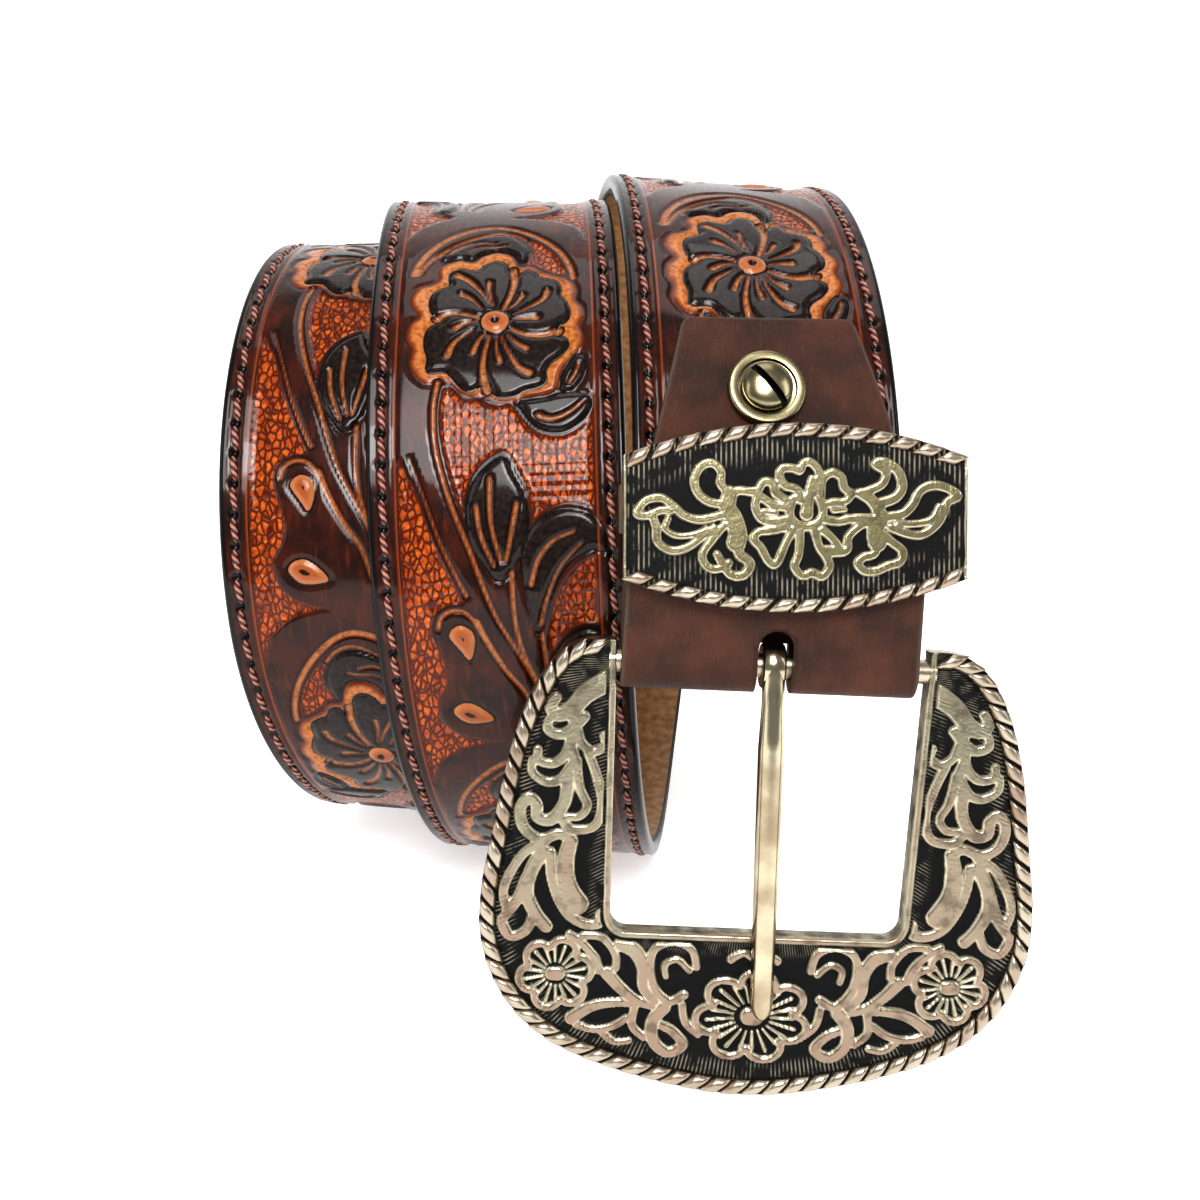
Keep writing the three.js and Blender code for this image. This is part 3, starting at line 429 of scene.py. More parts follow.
# %% Fields and seeds of the leather
GROUNDS = [
    # crescent beside the flower
    [(4.4, 104), (6.4, 103), (8.8, 100), (10.4, 96.4), (10.9, 93.6), (9.2, 93.8), (7.4, 94.9),
     (5.8, 96.4), (4.4, 96.5), (5.2, 98.6), (5.5, 101)],
    # field over the bud
    [(-7.6, 72.2), (-8.2, 68), (-7.8, 63), (-6.4, 57.2), (-4.9, 52.8), (-4.6, 55.6),
     (-3.4, 58.8), (-1.2, 61.2), (1.5, 62.2), (3.2, 59.4), (4.5, 56.6), (5, 53), (5, 51.4),
     (7, 53.5), (10, 54.4), (13.2, 53.8), (15.2, 52), (15.2, 70), (14.6, 68.8), (12.4, 65.8),
     (9.5, 64.4), (6, 65.2), (3.7, 67.6), (2.4, 69.3), (0, 69.4), (-3, 70.4), (-5, 70.8),
     (-6.6, 72.5)],
    # field under the curled leaf
    [(6.6, 34), (7.2, 38), (8.4, 41.4), (10.2, 44.2), (13.4, 46.8), (15.2, 46.6),
     (15.2, 36.4), (13.6, 36.7), (11, 36.4), (8.8, 34.9), (7.1, 32.2)],
    # long field on the left
    [(-14.8, 58), (-12.6, 58.6), (-11.4, 56), (-9.4, 50), (-7.3, 44.8), (-5.5, 40.4),
     (-7.6, 40), (-9.6, 38.8), (-10.4, 36.2), (-9.6, 33), (-8.7, 29.4), (-9.2, 26.8),
     (-10.6, 24.2), (-10.5, 21.2), (-8.9, 18.7), (-5.6, 17), (-2.2, 16.4), (-5, 15.9),
     (-9, 14.6), (-12.6, 11.6), (-14.8, 9.4)],
    # field on the lower right
    [(15.2, 31.6), (12.9, 30.8), (11.4, 28.8), (10.8, 25.6), (11, 21.6), (9.2, 19.4),
     (7.4, 17.4), (9.4, 15.4), (12.4, 12.4), (15.2, 8.8)],
]
SEEDS = [
    [(-8, 35.3), (-7.2, 36.7), (-6, 37), (-4.5, 35.9), (-4.3, 34), (-5.2, 31.4), (-6.5, 33)],
    [(-8.7, 22.4), (-7.8, 23.8), (-6, 24.1), (-4, 22.8), (-2.6, 20.9), (-4.6, 20.3),
     (-7, 20.5)],
]

# %% [markdown]
# Now every shape and stroke is measured on one grid that holds one repeat. The repeats before and
# after it are drawn as well, so a leaf that runs over the end of the grid comes in at the other.

# %% Measure the leather drawing
DRAWING_START = -70
leather_grid = (
    np.arange(-19.2, 19.3, 0.2),
    np.arange(DRAWING_START, DRAWING_START + REPEAT + 0.4, 0.2),
)


def blank(grid):
    return np.full((len(grid[1]), len(grid[0])), -MARGIN)


def copies(line):
    """The drawing's line in this repeat and in the ones before and after it."""
    line = np.asarray(line, float) - [0, FLOWER_AT]
    for n in (-1, 0, 1):
        yield line * [(-1) ** n, 1] + [0, n * REPEAT]


leather = {name: blank(leather_grid) for name in ("ground", "band", "leaf", "vein", "line", "seed")}
for name, shapes in (("ground", GROUNDS), ("leaf", LEAVES + [FLOWER]), ("seed", SEEDS)):
    for shape in shapes:
        for line in copies(shape):
            add_shape(leather_grid, leather[name], line)
for line in copies(BAND):
    add_shape(leather_grid, leather["band"], line)
for name, strokes in (("vein", VEINS), ("line", LINES)):
    for stroke, head, tail in strokes:
        for line in copies(stroke):
            add_stroke(leather_grid, leather[name], line, head, tail)
print("leather drawing:", {k: round(float((v > 0).mean()), 3) for k, v in leather.items()})

# %% [markdown]
# On the strap the drawing starts beside the fold and runs to the tip. Its flowers were measured
# on the front of each turn, and the lengths between them set how the drawing is laid out. The
# margins carry a scored line and a channel for the thread, and the fields between the leaves are
# beaten down with a small stamp, here a net of pits.

# %% Relief of the leather
STITCH_AT, STITCH_PITCH, SCORE_AT = 16.6, 4.7, 14.75
FIRST_FLOWER, MIDDLE_FLOWER, LAST_FLOWER = 63.2, 450.5, 832.3


def drawing_place(s, across):
    """Where a spot of the strap lies in the drawing."""
    y = np.interp(s, [FIRST_FLOWER, MIDDLE_FLOWER, LAST_FLOWER], [0, 4 * REPEAT, 8 * REPEAT])
    y = np.where(s > LAST_FLOWER, 8 * REPEAT + s - LAST_FLOWER, y)
    y = np.where(s < FIRST_FLOWER, s - FIRST_FLOWER, y)
    n = np.floor((y - DRAWING_START) / REPEAT)
    return across * np.where(n % 2 == 0, 1, -1), y - n * REPEAT


def bell(x, width):
    return np.exp(-((x / width) ** 2))


def leather_relief(s, across):
    """Height of the tooled face in mm, and the depths inside each part of the drawing."""
    x, y = drawing_place(s, across)
    f = {name: sample(leather_grid, field, x, y) for name, field in leather.items()}
    half = strap_half(s)
    from_edge = half - np.abs(across)
    kept = np.minimum(smoothstep(s, 40, 44), 1 - smoothstep(s, STRAP_LENGTH - 40, STRAP_LENGTH - 32))
    field_edge = from_edge - (STRAP_WIDTH / 2 - SCORE_AT + 0.35)
    f["ground"] = np.minimum(f["ground"], field_edge)
    for name in f:
        f[name] = np.minimum(f[name], kept * 6 - 3)
    centre = np.hypot(x, y)
    f["seed"] = np.maximum(f["seed"], np.where(centre < 5, 2.1 - centre, -MARGIN))
    f["vein"] = np.where(centre < 2.3, -0.3, f["vein"])
    sunk = smoothstep(f["ground"], -0.25, 0.55)
    net = np.cos(np.pi * (x + 0.8 * y) / 1.15) * np.cos(np.pi * (x - 0.8 * y) / 1.15)
    height = -0.5 * sunk + 0.08 * net * smoothstep(f["ground"], 0.2, 0.9)
    height += 0.16 * smoothstep(f["leaf"], -0.05, 0.9) - 0.42 * bell(f["leaf"] + 0.22, 0.3)
    height -= 0.25 * bell(f["band"] + 0.1, 0.35) * (1 - sunk)
    height -= 0.45 * smoothstep(f["vein"], -0.2, 0.35)
    height -= 0.34 * smoothstep(f["line"], -0.25, 0.35) * (1 - sunk)
    height += 0.3 * smoothstep(f["seed"], 0, 1.1) - 0.3 * bell(f["seed"] + 0.2, 0.3)
    height -= 0.5 * smoothstep(0.75 - centre, 0, 0.4)
    score = from_edge - (STRAP_WIDTH / 2 - SCORE_AT)
    height -= 0.26 * bell(score, 0.32)
    height -= 0.42 * bell(from_edge - (STRAP_WIDTH / 2 - STITCH_AT), 0.62)
    height -= 0.12 * bell(from_edge - 1.05, 0.4)
    beat = (s + STITCH_PITCH / 2) % STITCH_PITCH - STITCH_PITCH / 2
    f["pit"] = 0.85 - np.hypot(beat, from_edge - (STRAP_WIDTH / 2 - STITCH_AT))
    height -= 0.5 * smoothstep(f["pit"], 0, 0.6)
    f["score"] = 0.32 - np.abs(score)
    f["height"] = height
    return f


# %% [markdown]
# The face layer of the strap is a skin through rings: a fine row of points across the tooled
# face, rounded and painted edges, and a plain underside. The rows stand closer together on the
# front of each turn, where the eye is. One skin would hold too many faces for one file, so it is
# cut into parts that meet under the coil, and each is a closed body of its own.

# %% Strap face
COLUMNS, ROUND = 84, 0.9
FINE_STEP, WIDE_STEP = 0.38, 0.66
FINE_SPANS = [(46, 135), (355, 530), (680, 900)]
edge_turn = np.radians([75, 50, 25, 0])
edge_in = ROUND * (1 - np.cos(edge_turn))
edge_down = ROUND * (1 - np.sin(edge_turn))


def strap_rows(first, last):
    """Lengths of the rows: a small step on the front of each turn and a larger one elsewhere."""
    rows = [first]
    while rows[-1] < last - 1e-6:
        fine = any(a < rows[-1] < b for a, b in FINE_SPANS)
        rows.append(min(last, rows[-1] + (FINE_STEP if fine else WIDE_STEP)))
    return np.array(rows)


def strap_part(name, first, last):
    """One length of the face layer, closed all round, with the drawing kept on its points."""
    s = strap_rows(first, last)[:, None]
    half = strap_half(s)
    soft = np.minimum(ROUND, half / 2)
    share = np.linspace(-1, 1, COLUMNS)[None, :]
    top = share * (half - soft)
    relief = leather_relief(np.broadcast_to(s, top.shape), top)
    scale = soft / ROUND
    right = half - edge_in[None, :] * scale
    drop = -edge_down[None, :] * scale
    under = np.linspace(1, -1, 6)[None, :] * half
    across = np.hstack([top, right, under, -right[:, ::-1]])
    lift = np.hstack([relief["height"], drop, np.full(under.shape, -float(FACE)), drop[:, ::-1]])
    rows = np.broadcast_to(s, across.shape)
    lift = lift + cup_lift(rows, across)
    piece = tube_piece(name, on_strap(rows, across, lift))
    pad = across.shape[1] - COLUMNS
    for key in (*leather, "score", "pit"):
        write_value(piece, key, np.pad(relief[key], ((0, 0), (0, pad)), constant_values=-3).ravel())
    rim = np.hstack([half - soft - np.abs(top) + 0.25, -np.ones((len(s), pad))])
    write_value(piece, "rim", rim.ravel())
    write_place(piece, "flat", across, rows, 0)
    return piece


STRAP_CUTS = [STRAP_START, 318, 650, 925, STRAP_LENGTH - 0.4]
strap_parts = []
for k, (first, last) in enumerate(zip(STRAP_CUTS, STRAP_CUTS[1:])):
    strap_parts.append(strap_part(f"strap_face_{k + 1}", first, last))
print("strap parts:", [len(p.data.polygons) for p in strap_parts])

# %% [markdown]
# The strap's end has five punched holes for the tongue, and one more hole lets the screw's post
# through under the fold. Each is cut with a Boolean by a round punch that stands along the strap's
# own outward direction, from both leather layers. The result is kept as a plain mesh.


# %% Punched holes
def plain_copy(piece, name):
    """The piece with its modifiers worked in, as a plain mesh."""
    seen = piece.evaluated_get(bpy.context.evaluated_depsgraph_get())
    done = bpy.data.meshes.new_from_object(seen)
    bpy.data.objects.remove(piece)
    done.name = name
    result = bpy.data.objects.new(name, done)
    bpy.context.scene.collection.objects.link(result)
    return result


def cut_with(piece, tool):
    """The piece less the tool, under the piece's own name. The tool is used up."""
    cut = piece.modifiers.new("cut", "BOOLEAN")
    cut.operation, cut.solver, cut.object = "DIFFERENCE", "EXACT", tool
    name = piece.name
    piece.name = name + "_uncut"
    bpy.context.view_layer.update()
    result = plain_copy(piece, name)
    bpy.data.objects.remove(tool)
    return result


def strap_axes(s, across):
    """Side, along and out directions at a place on the strap, and the place itself."""
    p, a, o = at(np.array([float(s)]))
    along = unit(np.cross(o, a))[0]
    side = unit(np.cross(along, o[0]))
    return side, along, o[0], (p + a * across)[0] + PLACE


def punch_at(s, across, radius, low=-4.4, high=0.9, sides=32):
    """A round punch that goes through face and lining, from low to high along the way out."""
    side, along, out, place = strap_axes(s, across)
    turn = np.linspace(0, 2 * np.pi, sides, endpoint=False)[:, None]
    ring = place + radius * (np.cos(turn) * side + np.sin(turn) * along)
    return tube_piece("punch", np.stack([ring + out * low, ring + out * high]))


HOLE_FIRST, HOLE_PITCH, HOLE_COUNT, HOLE_RADIUS = 95, 25, 5, 2.3
HOLE_LENGTHS = [STRAP_LENGTH - HOLE_FIRST - HOLE_PITCH * k for k in range(HOLE_COUNT)]
SCREW_AT, SCREW_SHIFT, SCREW_HOLE = 38.8, -0.5, 2.5
for s in HOLE_LENGTHS:
    part = 3 if s > STRAP_CUTS[3] else 2
    strap_parts[part] = cut_with(strap_parts[part], punch_at(s, 0, HOLE_RADIUS))
strap_parts[0] = cut_with(strap_parts[0], punch_at(SCREW_AT, SCREW_SHIFT, SCREW_HOLE))
print("holes punched at", HOLE_LENGTHS)

# %% [markdown]
# The lining is a thin, plain layer of natural leather glued behind the face. It has no tooling,
# so a coarser skin is enough, with its own little rounding at the edges. It shows on the inside
# of the turns, through the buckle's window and in the eye of the coil.

# %% Lining
LINING_ROWS, LINING_INSET = 860, 0.25
lining_rows = np.linspace(STRAP_START, STRAP_LENGTH - 0.5, LINING_ROWS)[:, None]
lining_half = strap_half(lining_rows) - LINING_INSET
share = np.array([-1, -0.985, -0.7, -0.35, 0, 0.35, 0.7, 0.985, 1])
across = np.hstack([share * lining_half, share[::-1] * lining_half])
lift = np.array([-0.3, *[0] * 7, -0.3, -0.7, *[-LINING] * 7, -0.7]) - FACE - BOND
rows = np.broadcast_to(lining_rows, across.shape)
lining = tube_piece("lining_leather_layer", on_strap(rows, across, lift + cup_lift(rows, across)))
write_place(lining, "flat", across, rows, 0)
write_value(lining, "rim", (lining_half - np.abs(across)).ravel())
for s in HOLE_LENGTHS:
    lining = cut_with(lining, punch_at(s, 0, HOLE_RADIUS))
lining = cut_with(lining, punch_at(SCREW_AT, SCREW_SHIFT, SCREW_HOLE))
print("lining faces:", len(lining.data.polygons))

# %% [markdown]
# The chape is one strip of plain leather, folded round the bar and held by the screw. It is a
# skin along the fold: up the back leg, round the bar and up the front. Its section has softly
# worn edges, and its upper end narrows between two slanted cuts. The slot for the tongue is cut
# out of the fold afterwards.

# %% Chape
CHAPE_WIDTH, CHAPE_WALL, CHAPE_SHIFT = 41.8, 1.8, 0.7
FOLD_INNER = THICK / 2 + CLEAR
FOLD_OUTER = FOLD_INNER + CHAPE_WALL
CHAPE_TOP = CLEAR + CHAPE_WALL
BACK_BOTTOM = -THICK - CLEAR - CHAPE_WALL


def chape_half(s):
    return CHAPE_WIDTH / 2 * np.interp(s / CHAPE_LEG, [0, 0.31, 0.975, 1], [1, 1, 0.603, 0.555])


LEG_ROWS, FOLD_ROWS, CHAPE_CORNER = 76, 26, 0.42
leg = np.linspace(0.6, CHAPE_LEG - 0.9, LEG_ROWS)
leg = np.concatenate([leg, CHAPE_LEG - np.array([0.5, 0.25, 0.1, 0.02])])
worn = np.concatenate([np.zeros(LEG_ROWS), [0.1, 0.25, 0.45, 0.7]])  # the cut ends are rounded too
CHAPE_SHARE = np.linspace(-1, 1, 47)


def chape_section(half, inner, outer, thin):
    """Offsets across and lifts of one section, inner face first."""
    half = half[:, None] - thin[:, None] * 0.6
    lift_in = (inner + np.sign(outer - inner) * thin * 0.8)[:, None]
    lift_out = (outer - np.sign(outer - inner) * thin * 0.8)[:, None]
    x = CHAPE_SHARE * (half - CHAPE_CORNER)
    side = x[:, -1:] + CHAPE_CORNER * np.array([0.7, 1, 1, 0.7])
    rise = (lift_out - lift_in) * np.array([0.06, 0.25, 0.75, 0.94]) + lift_in
    offset = np.hstack([x, side, x[:, ::-1], -side[:, ::-1]])
    lift = np.hstack([lift_in + 0 * x, rise, lift_out + 0 * x, rise[:, ::-1]])
    return offset, lift


same = 0 * leg
front_x, front_z = chape_section(chape_half(leg), CLEAR + same, CHAPE_TOP + same, worn)
back_x, back_z = chape_section(chape_half(leg), -THICK - CLEAR + same, BACK_BOTTOM + same, worn)
turn = np.linspace(0, np.pi, FOLD_ROWS)
zero = 0 * turn
fold_x, fold_r = chape_section(chape_half(zero), FOLD_INNER + zero, FOLD_OUTER + zero, zero)
front = on_strap(np.broadcast_to(leg[:, None], front_x.shape), front_x + CHAPE_SHIFT, front_z)
back = on_strap(np.broadcast_to(leg[:, None], back_x.shape), back_x + CHAPE_SHIFT, back_z)
fold = (
    BAR + PLACE
    + (fold_x + CHAPE_SHIFT)[..., None] * np.array([1.0, 0, 0])
    + (fold_r * np.cos(turn)[:, None])[..., None] * BUCKLE_OUT
    - (fold_r * np.sin(turn)[:, None])[..., None] * BUCKLE_UP
)
chape = tube_piece("chape_leather_fold", np.concatenate([front[::-1], fold, back]))
way = np.concatenate([leg[::-1], -turn * 3, -8 - leg])
chape_x = np.concatenate([front_x[::-1], fold_x, back_x])
edge = np.concatenate([chape_half(leg)[::-1], chape_half(zero), chape_half(leg)])[:, None]
end_gap = np.concatenate([CHAPE_LEG - leg[::-1], 50 + zero, CHAPE_LEG - leg])[:, None]
write_value(chape, "rim", np.minimum(edge - np.abs(chape_x), end_gap + 0 * chape_x).ravel())
write_place(chape, "flat", chape_x, way[:, None], 0)
print("chape before its cuts:", len(chape.data.polygons), "faces")

# %% [markdown]
# The tongue comes out of the fold through a slot with a round upper end. In front the slot goes
# up past the bar, behind it ends lower, so two bars of that shape are cut away one after the
# other. The buckle's own axes are needed for this, and every cast piece uses them later.

# %% Slot for the tongue
BUCKLE_SHIFT, TONGUE_SLOT = 1.4, 2.6


def on_buckle(u, v, z):
    """Points in mm from offsets across the bar, up and out of the buckle's plane."""
    u, v, z = np.broadcast_arrays(*(np.asarray(k, float) for k in (u, v, z)))
    across = (u + BUCKLE_SHIFT)[..., None] * np.array([1.0, 0, 0])
    return BAR + PLACE + across + v[..., None] * BUCKLE_UP + z[..., None] * BUCKLE_OUT


turn = np.linspace(0, np.pi, 15)
slot_u = np.concatenate([[-TONGUE_SLOT, TONGUE_SLOT], TONGUE_SLOT * np.cos(turn)])
slot_v = np.concatenate([[-5, -5], 3 + TONGUE_SLOT * np.sin(turn)])
for top, low, high in ((6, 0.0, 4.9), (2.9, -4.9, 0.1)):
    ends = on_buckle(slot_u, np.minimum(slot_v, top), np.array([[low], [high]]))
    chape = cut_with(chape, tube_piece("slot", ends))
chape = cut_with(chape, punch_at(SCREW_AT, SCREW_SHIFT, SCREW_HOLE, -9, 9))
print("chape faces:", len(chape.data.polygons))

# %% [markdown]
# The buckle is cast: raised scrolls and flowers stand on a sunk, blackened ground, and their tops
# are polished. Its strokes are given for the left arm, in mm across from the middle and down from
# the bar, and the right arm is their mirror. A flower is a ring of petals drawn as one thin
# outline, with short rays inside.

# %% Drawing of the buckle
FRAME_STROKES = [
    ([(-23.5, 3), (-26.2, 4.8), (-28.3, 7.2), (-30.3, 8), (-31.2, 6.8), (-30.4, 5.6)], 2.4, 1),
    ([(-26.4, 8.2), (-27.6, 9.6), (-29.6, 10.9), (-31.4, 10.3), (-31.4, 9)], 1.2, 1),
    ([(-27.4, 9.6), (-26.6, 12), (-24.8, 13.2), (-23.3, 12.2), (-23.5, 10.8)], 1, 0.9),
    ([(-28, 7.8), (-27.6, 9.8), (-28.2, 12.4), (-27.2, 15.4)], 1.5, 1.2),
    ([(-28.2, 12), (-29, 14), (-30.6, 15.2), (-32.6, 14.8), (-32.8, 13.2)], 1.1, 0.9),
    ([(-28, 15.5), (-29.5, 17.5), (-31.5, 17.9), (-33.4, 16.6), (-33.5, 14.8)], 1.1, 0.9),
    ([(-25.6, 13.4), (-24.2, 17), (-23.3, 21), (-24.3, 24.2), (-27.4, 24.8), (-29, 23.4)], 1, 1),
    ([(-27.2, 14.6), (-26.6, 18.6), (-25.4, 21.2), (-26.4, 22.8), (-28, 23)], 1, 0.8),
    ([(-28.4, 16.8), (-28.6, 20.6), (-30.4, 23.4), (-32.4, 23.2), (-32.7, 21.2), (-33.8, 20.4),
      (-35, 22), (-34.4, 24.8), (-32, 26.4), (-29.3, 25.6), (-27.6, 26.4)], 1.4, 1.1),
    ([(-31.2, 26.8), (-34, 28.4), (-36, 31.5), (-37, 34.5), (-36.4, 37)], 1, 1),
    ([(-30.4, 28.4), (-30.2, 31.5), (-29.2, 34.8), (-27.4, 37.7), (-25, 39), (-22.9, 38.8),
      (-22.8, 37.4)], 1.1, 1.1),
    ([(-27.6, 26.6), (-28.2, 30), (-27.8, 33.2), (-26.2, 36)], 1.6, 2.4),
    ([(-31.6, 28.2), (-33.2, 31.6), (-33.6, 34.6), (-32.4, 37.4), (-30.6, 39.6)], 1.6, 1.4),
    ([(-33.6, 32.6), (-34.8, 35.4), (-36.8, 38.4)], 1.6, 1),
    ([(-37.2, 39), (-35.8, 41.2), (-33.6, 40.4), (-32.6, 38.2)], 1.2, 1),
    ([(-27.2, 40.6), (-25.4, 41.8), (-23.4, 44), (-22.6, 46)], 1, 1.2),
    ([(-25.2, 40.8), (-22.4, 41), (-20.4, 43.4), (-20.2, 45.6)], 1, 1),
    ([(-19.4, 41.8), (-17.4, 43), (-16.2, 45.4), (-16, 48.4), (-14.2, 50.4)], 2.2, 1.2),
    ([(-21.4, 46.4), (-19.4, 48.6), (-17, 50.4), (-14.6, 51.2)], 1.8, 1.1),
    ([(-8.4, 45), (-9.2, 42.4), (-11.8, 41.2), (-14.6, 42.4), (-15.2, 45.2), (-14.4, 48.4),
      (-12.2, 50.4), (-10, 49.4)], 1, 1.2),
    ([(-9.4, 45.6), (-11.2, 44), (-13, 44.8), (-12.8, 46.6)], 0.8, 0.8),
    ([(-26.4, 53.6), (-23.4, 51.6), (-20, 50.9), (-17, 51)], 1.7, 1),
    ([(-25.6, 54.6), (-23, 55.2), (-20.2, 54.6), (-18.2, 53.2)], 1, 1),
    ([(-22, 55.4), (-20, 57), (-17.8, 56.8)], 1, 0.9),
    ([(-17.2, 51.6), (-17.4, 54.4), (-15.6, 56.2)], 1.1, 1),
    ([(-12.8, 51.4), (-14.4, 53.6), (-14.2, 56.6), (-12, 58.4), (-9.8, 57.2), (-11.2, 55.2),
      (-13, 54.2)], 1.8, 1.2),
    ([(-10.2, 51), (-9.6, 53.6), (-7.6, 55.4)], 1, 1),
    ([(-3.4, 43.6), (-1.6, 42.6), (0, 43.4)], 1.1, 0.9),
]
# Middle, radius, petals, turn and how much wider than high
FLOWERS_CAST = [
    (-29, 46.8, 5.9, 6, 0.3, 1),
    (29, 46.8, 5.9, 6, -0.3, 1),
    (0.2, 52.4, 7.6, 7, 0.1, 1.2),
]

# %% [markdown]
# The keeper's plate has its own drawing, a flower with a scroll to each side. It isn't mirrored,
# as its two sides differ on the real piece. Points are across and up from the plate's middle.

# %% Drawing of the keeper
KEEPER_STROKES = [
    ([(-9.6, 0.5), (-13, -0.3), (-15.3, 0.2), (-16.8, 1.5), (-18.5, 2.6), (-20.7, 2.2),
      (-21.8, 0.5), (-20.5, 0.2), (-18.7, 0.9), (-17.3, 0.9)], 1, 0.9),
    ([(-19.7, 0.2), (-19.2, -1.4), (-18.9, -3.4), (-17, -4.5), (-14.7, -3.9), (-12.7, -2.4),
      (-11.3, -1.4)], 1, 0.9),
    ([(-17.6, -0.2), (-17.9, -1.6), (-16.3, -2.5), (-14, -2.3), (-12.3, -1.6)], 0.7, 0.7),
    ([(-9.5, 1.8), (-12, 2.1), (-13.6, 3.4), (-14, 5.3), (-13, 7), (-11.5, 7.3), (-10.4, 6.2),
      (-10.4, 4.6), (-9.5, 3.6), (-7.6, 3.6), (-5.6, 3.6), (-4.6, 4.8), (-3.3, 4.6),
      (-2.9, 3.3), (-1.5, 2.4)], 1, 1),
    ([(-9.2, 3.2), (-9.5, 1.4), (-8.6, -0.2), (-8.1, -2.1), (-8.3, -3.4)], 2, 2.5),
    ([(-10, -1.1), (-11.6, -3), (-12.9, -5), (-12.3, -6.6), (-10.8, -7), (-9.3, -6.2)], 1, 0.9),
    ([(-8, -3.4), (-7.8, -5), (-6.4, -6.2), (-7.3, -7.8), (-9, -7.8), (-10, -6.6),
      (-10.9, -5)], 1.3, 0.9),
    ([(0.4, 2.4), (0, 3.8), (-1.6, 4.3), (-2.4, 5.6), (-2.1, 6.6), (-0.6, 6.7), (0.4, 6.4),
      (0.8, 7.3), (1.9, 7.5), (3, 6.2), (2.7, 4.6), (2.1, 3.2)], 1, 1),
    ([(3.3, 3), (3.5, 5.1), (4.8, 6.1), (6.1, 5.5), (6.5, 4), (7.6, 3.3)], 1, 1),
    ([(3.6, 1.6), (5, 2.1), (6.6, 2.2), (7.5, 3.1)], 0.9, 0.9),
    ([(4, -0.3), (5.8, -0.5), (7.1, -0.2), (8.6, -0.1), (10.2, -0.2)], 1, 1.2),
    ([(5.1, 1.1), (6.6, 1.1)], 0.9, 0.6),
    ([(3.5, -1.6), (5.1, -3.1), (6.1, -4.6), (7, -4.2), (7.1, -2.6), (8.7, -1.1),
      (10.2, -0.5)], 1, 1),
    ([(2.5, -1.9), (3.1, -4), (4, -5.3), (4.5, -6.6), (3.5, -8), (2.1, -7.5), (0.8, -7.9),
      (-0.3, -6.7), (0.2, -5.1), (0.4, -3.4), (0.4, -2.1)], 1, 1),
    ([(-0.5, -1.6), (-1.5, -3.4), (-2.8, -6.2), (-3.9, -5.9), (-4.9, -4.1), (-5.9, -3),
      (-5.3, -2), (-3.4, -1.7), (-1.4, -1.3)], 1, 1),
    ([(-1.3, -0.2), (-3.3, -0.5), (-4.9, -0.2), (-5.7, 1.4), (-5.2, 2.8), (-3.3, 1.7),
      (-1.4, 1.4)], 1, 1),
    ([(-4.6, 0.8), (-2.9, 0.6)], 0.8, 0.6),
    ([(-0.5, 2.6), (-1, 0.8), (-0.4, -0.6), (1.3, -1.3), (2.9, -0.6), (3.6, 0.8),
      (3.1, 2.6)], 1, 1),
    ([(1.3, 0.5), (1.5, 2.1), (1.8, 4), (2, 5.3)], 1.7, 0.8),
    ([(8.5, 3.3), (10, 3.7), (11.7, 4.6), (12.2, 6.2), (10.8, 7.3), (12.2, 7.5), (13.9, 6.3),
      (14.5, 4.3), (13.5, 2.7), (11.2, 1.9)], 1, 1.3),
    ([(8.7, 3.3), (10.5, 2.1), (11.6, 0), (10.8, -1.6), (11.1, -3.4)], 1.2, 2.4),
    ([(12.2, 0.1), (14.5, 0.5), (15.9, 1.8), (16.9, 3.6), (18.6, 4.4), (20.6, 4.1),
      (22.2, 3), (20.7, 2.1), (20.1, 0.4), (19.1, -1.1), (17.2, -2.3), (14.9, -2.1),
      (12.9, -1.3)], 1.2, 1),
    ([(13.9, -0.8), (16.5, -0.8), (18.6, -0.2), (19.6, 1.5)], 0.8, 0.9),
    ([(11.5, -2.1), (13.2, -3.4), (14.6, -4.6), (14.2, -6), (12.5, -6.6), (10.8, -7.3),
      (9.2, -7.2), (8.4, -6.2), (9.2, -5.4), (10.7, -4.9), (11.1, -3.4)], 1.1, 1),
    ([(4, -4.6), (5, -4.6), (6, -4.6)], 1.6, 1.2),
]

# %% [markdown]
# Both drawings are measured like the leather's. The cast strokes come out a little fuller than
# their middle lines suggest, so a small width is added to each, and more on the two arms.


# %% Measure the cast drawings
def cast_flower(grid, field, x, y, radius, petals, start, wide):
    """Petals as one thin outline, a round middle and short rays."""
    turn = np.linspace(0, 2 * np.pi, petals * 8, endpoint=False)
    lobe = np.abs(np.cos(petals / 2 * (turn - start)))
    edge_r = radius * (0.62 + 0.3 * lobe**0.6)
    ring = np.stack([x + wide * edge_r * np.sin(turn), y + edge_r * np.cos(turn)], 1)
    add_stroke(grid, field, np.vstack([ring, ring[:1]]), 1.15, 1.15)
    add_stroke(grid, field, [(x - 0.4, y), (x + 0.4, y)], radius * 0.36, radius * 0.36)
    for k in range(petals * 3):
        a = start + 2 * np.pi * k / (petals * 3)
        reach = 0.66 if k % 3 else 0.74
        ends = (radius * 0.3, radius * reach)
        line = [(x + wide * r * math.sin(a), y + r * math.cos(a)) for r in ends]
        add_stroke(grid, field, line, 0.35, 0.6)


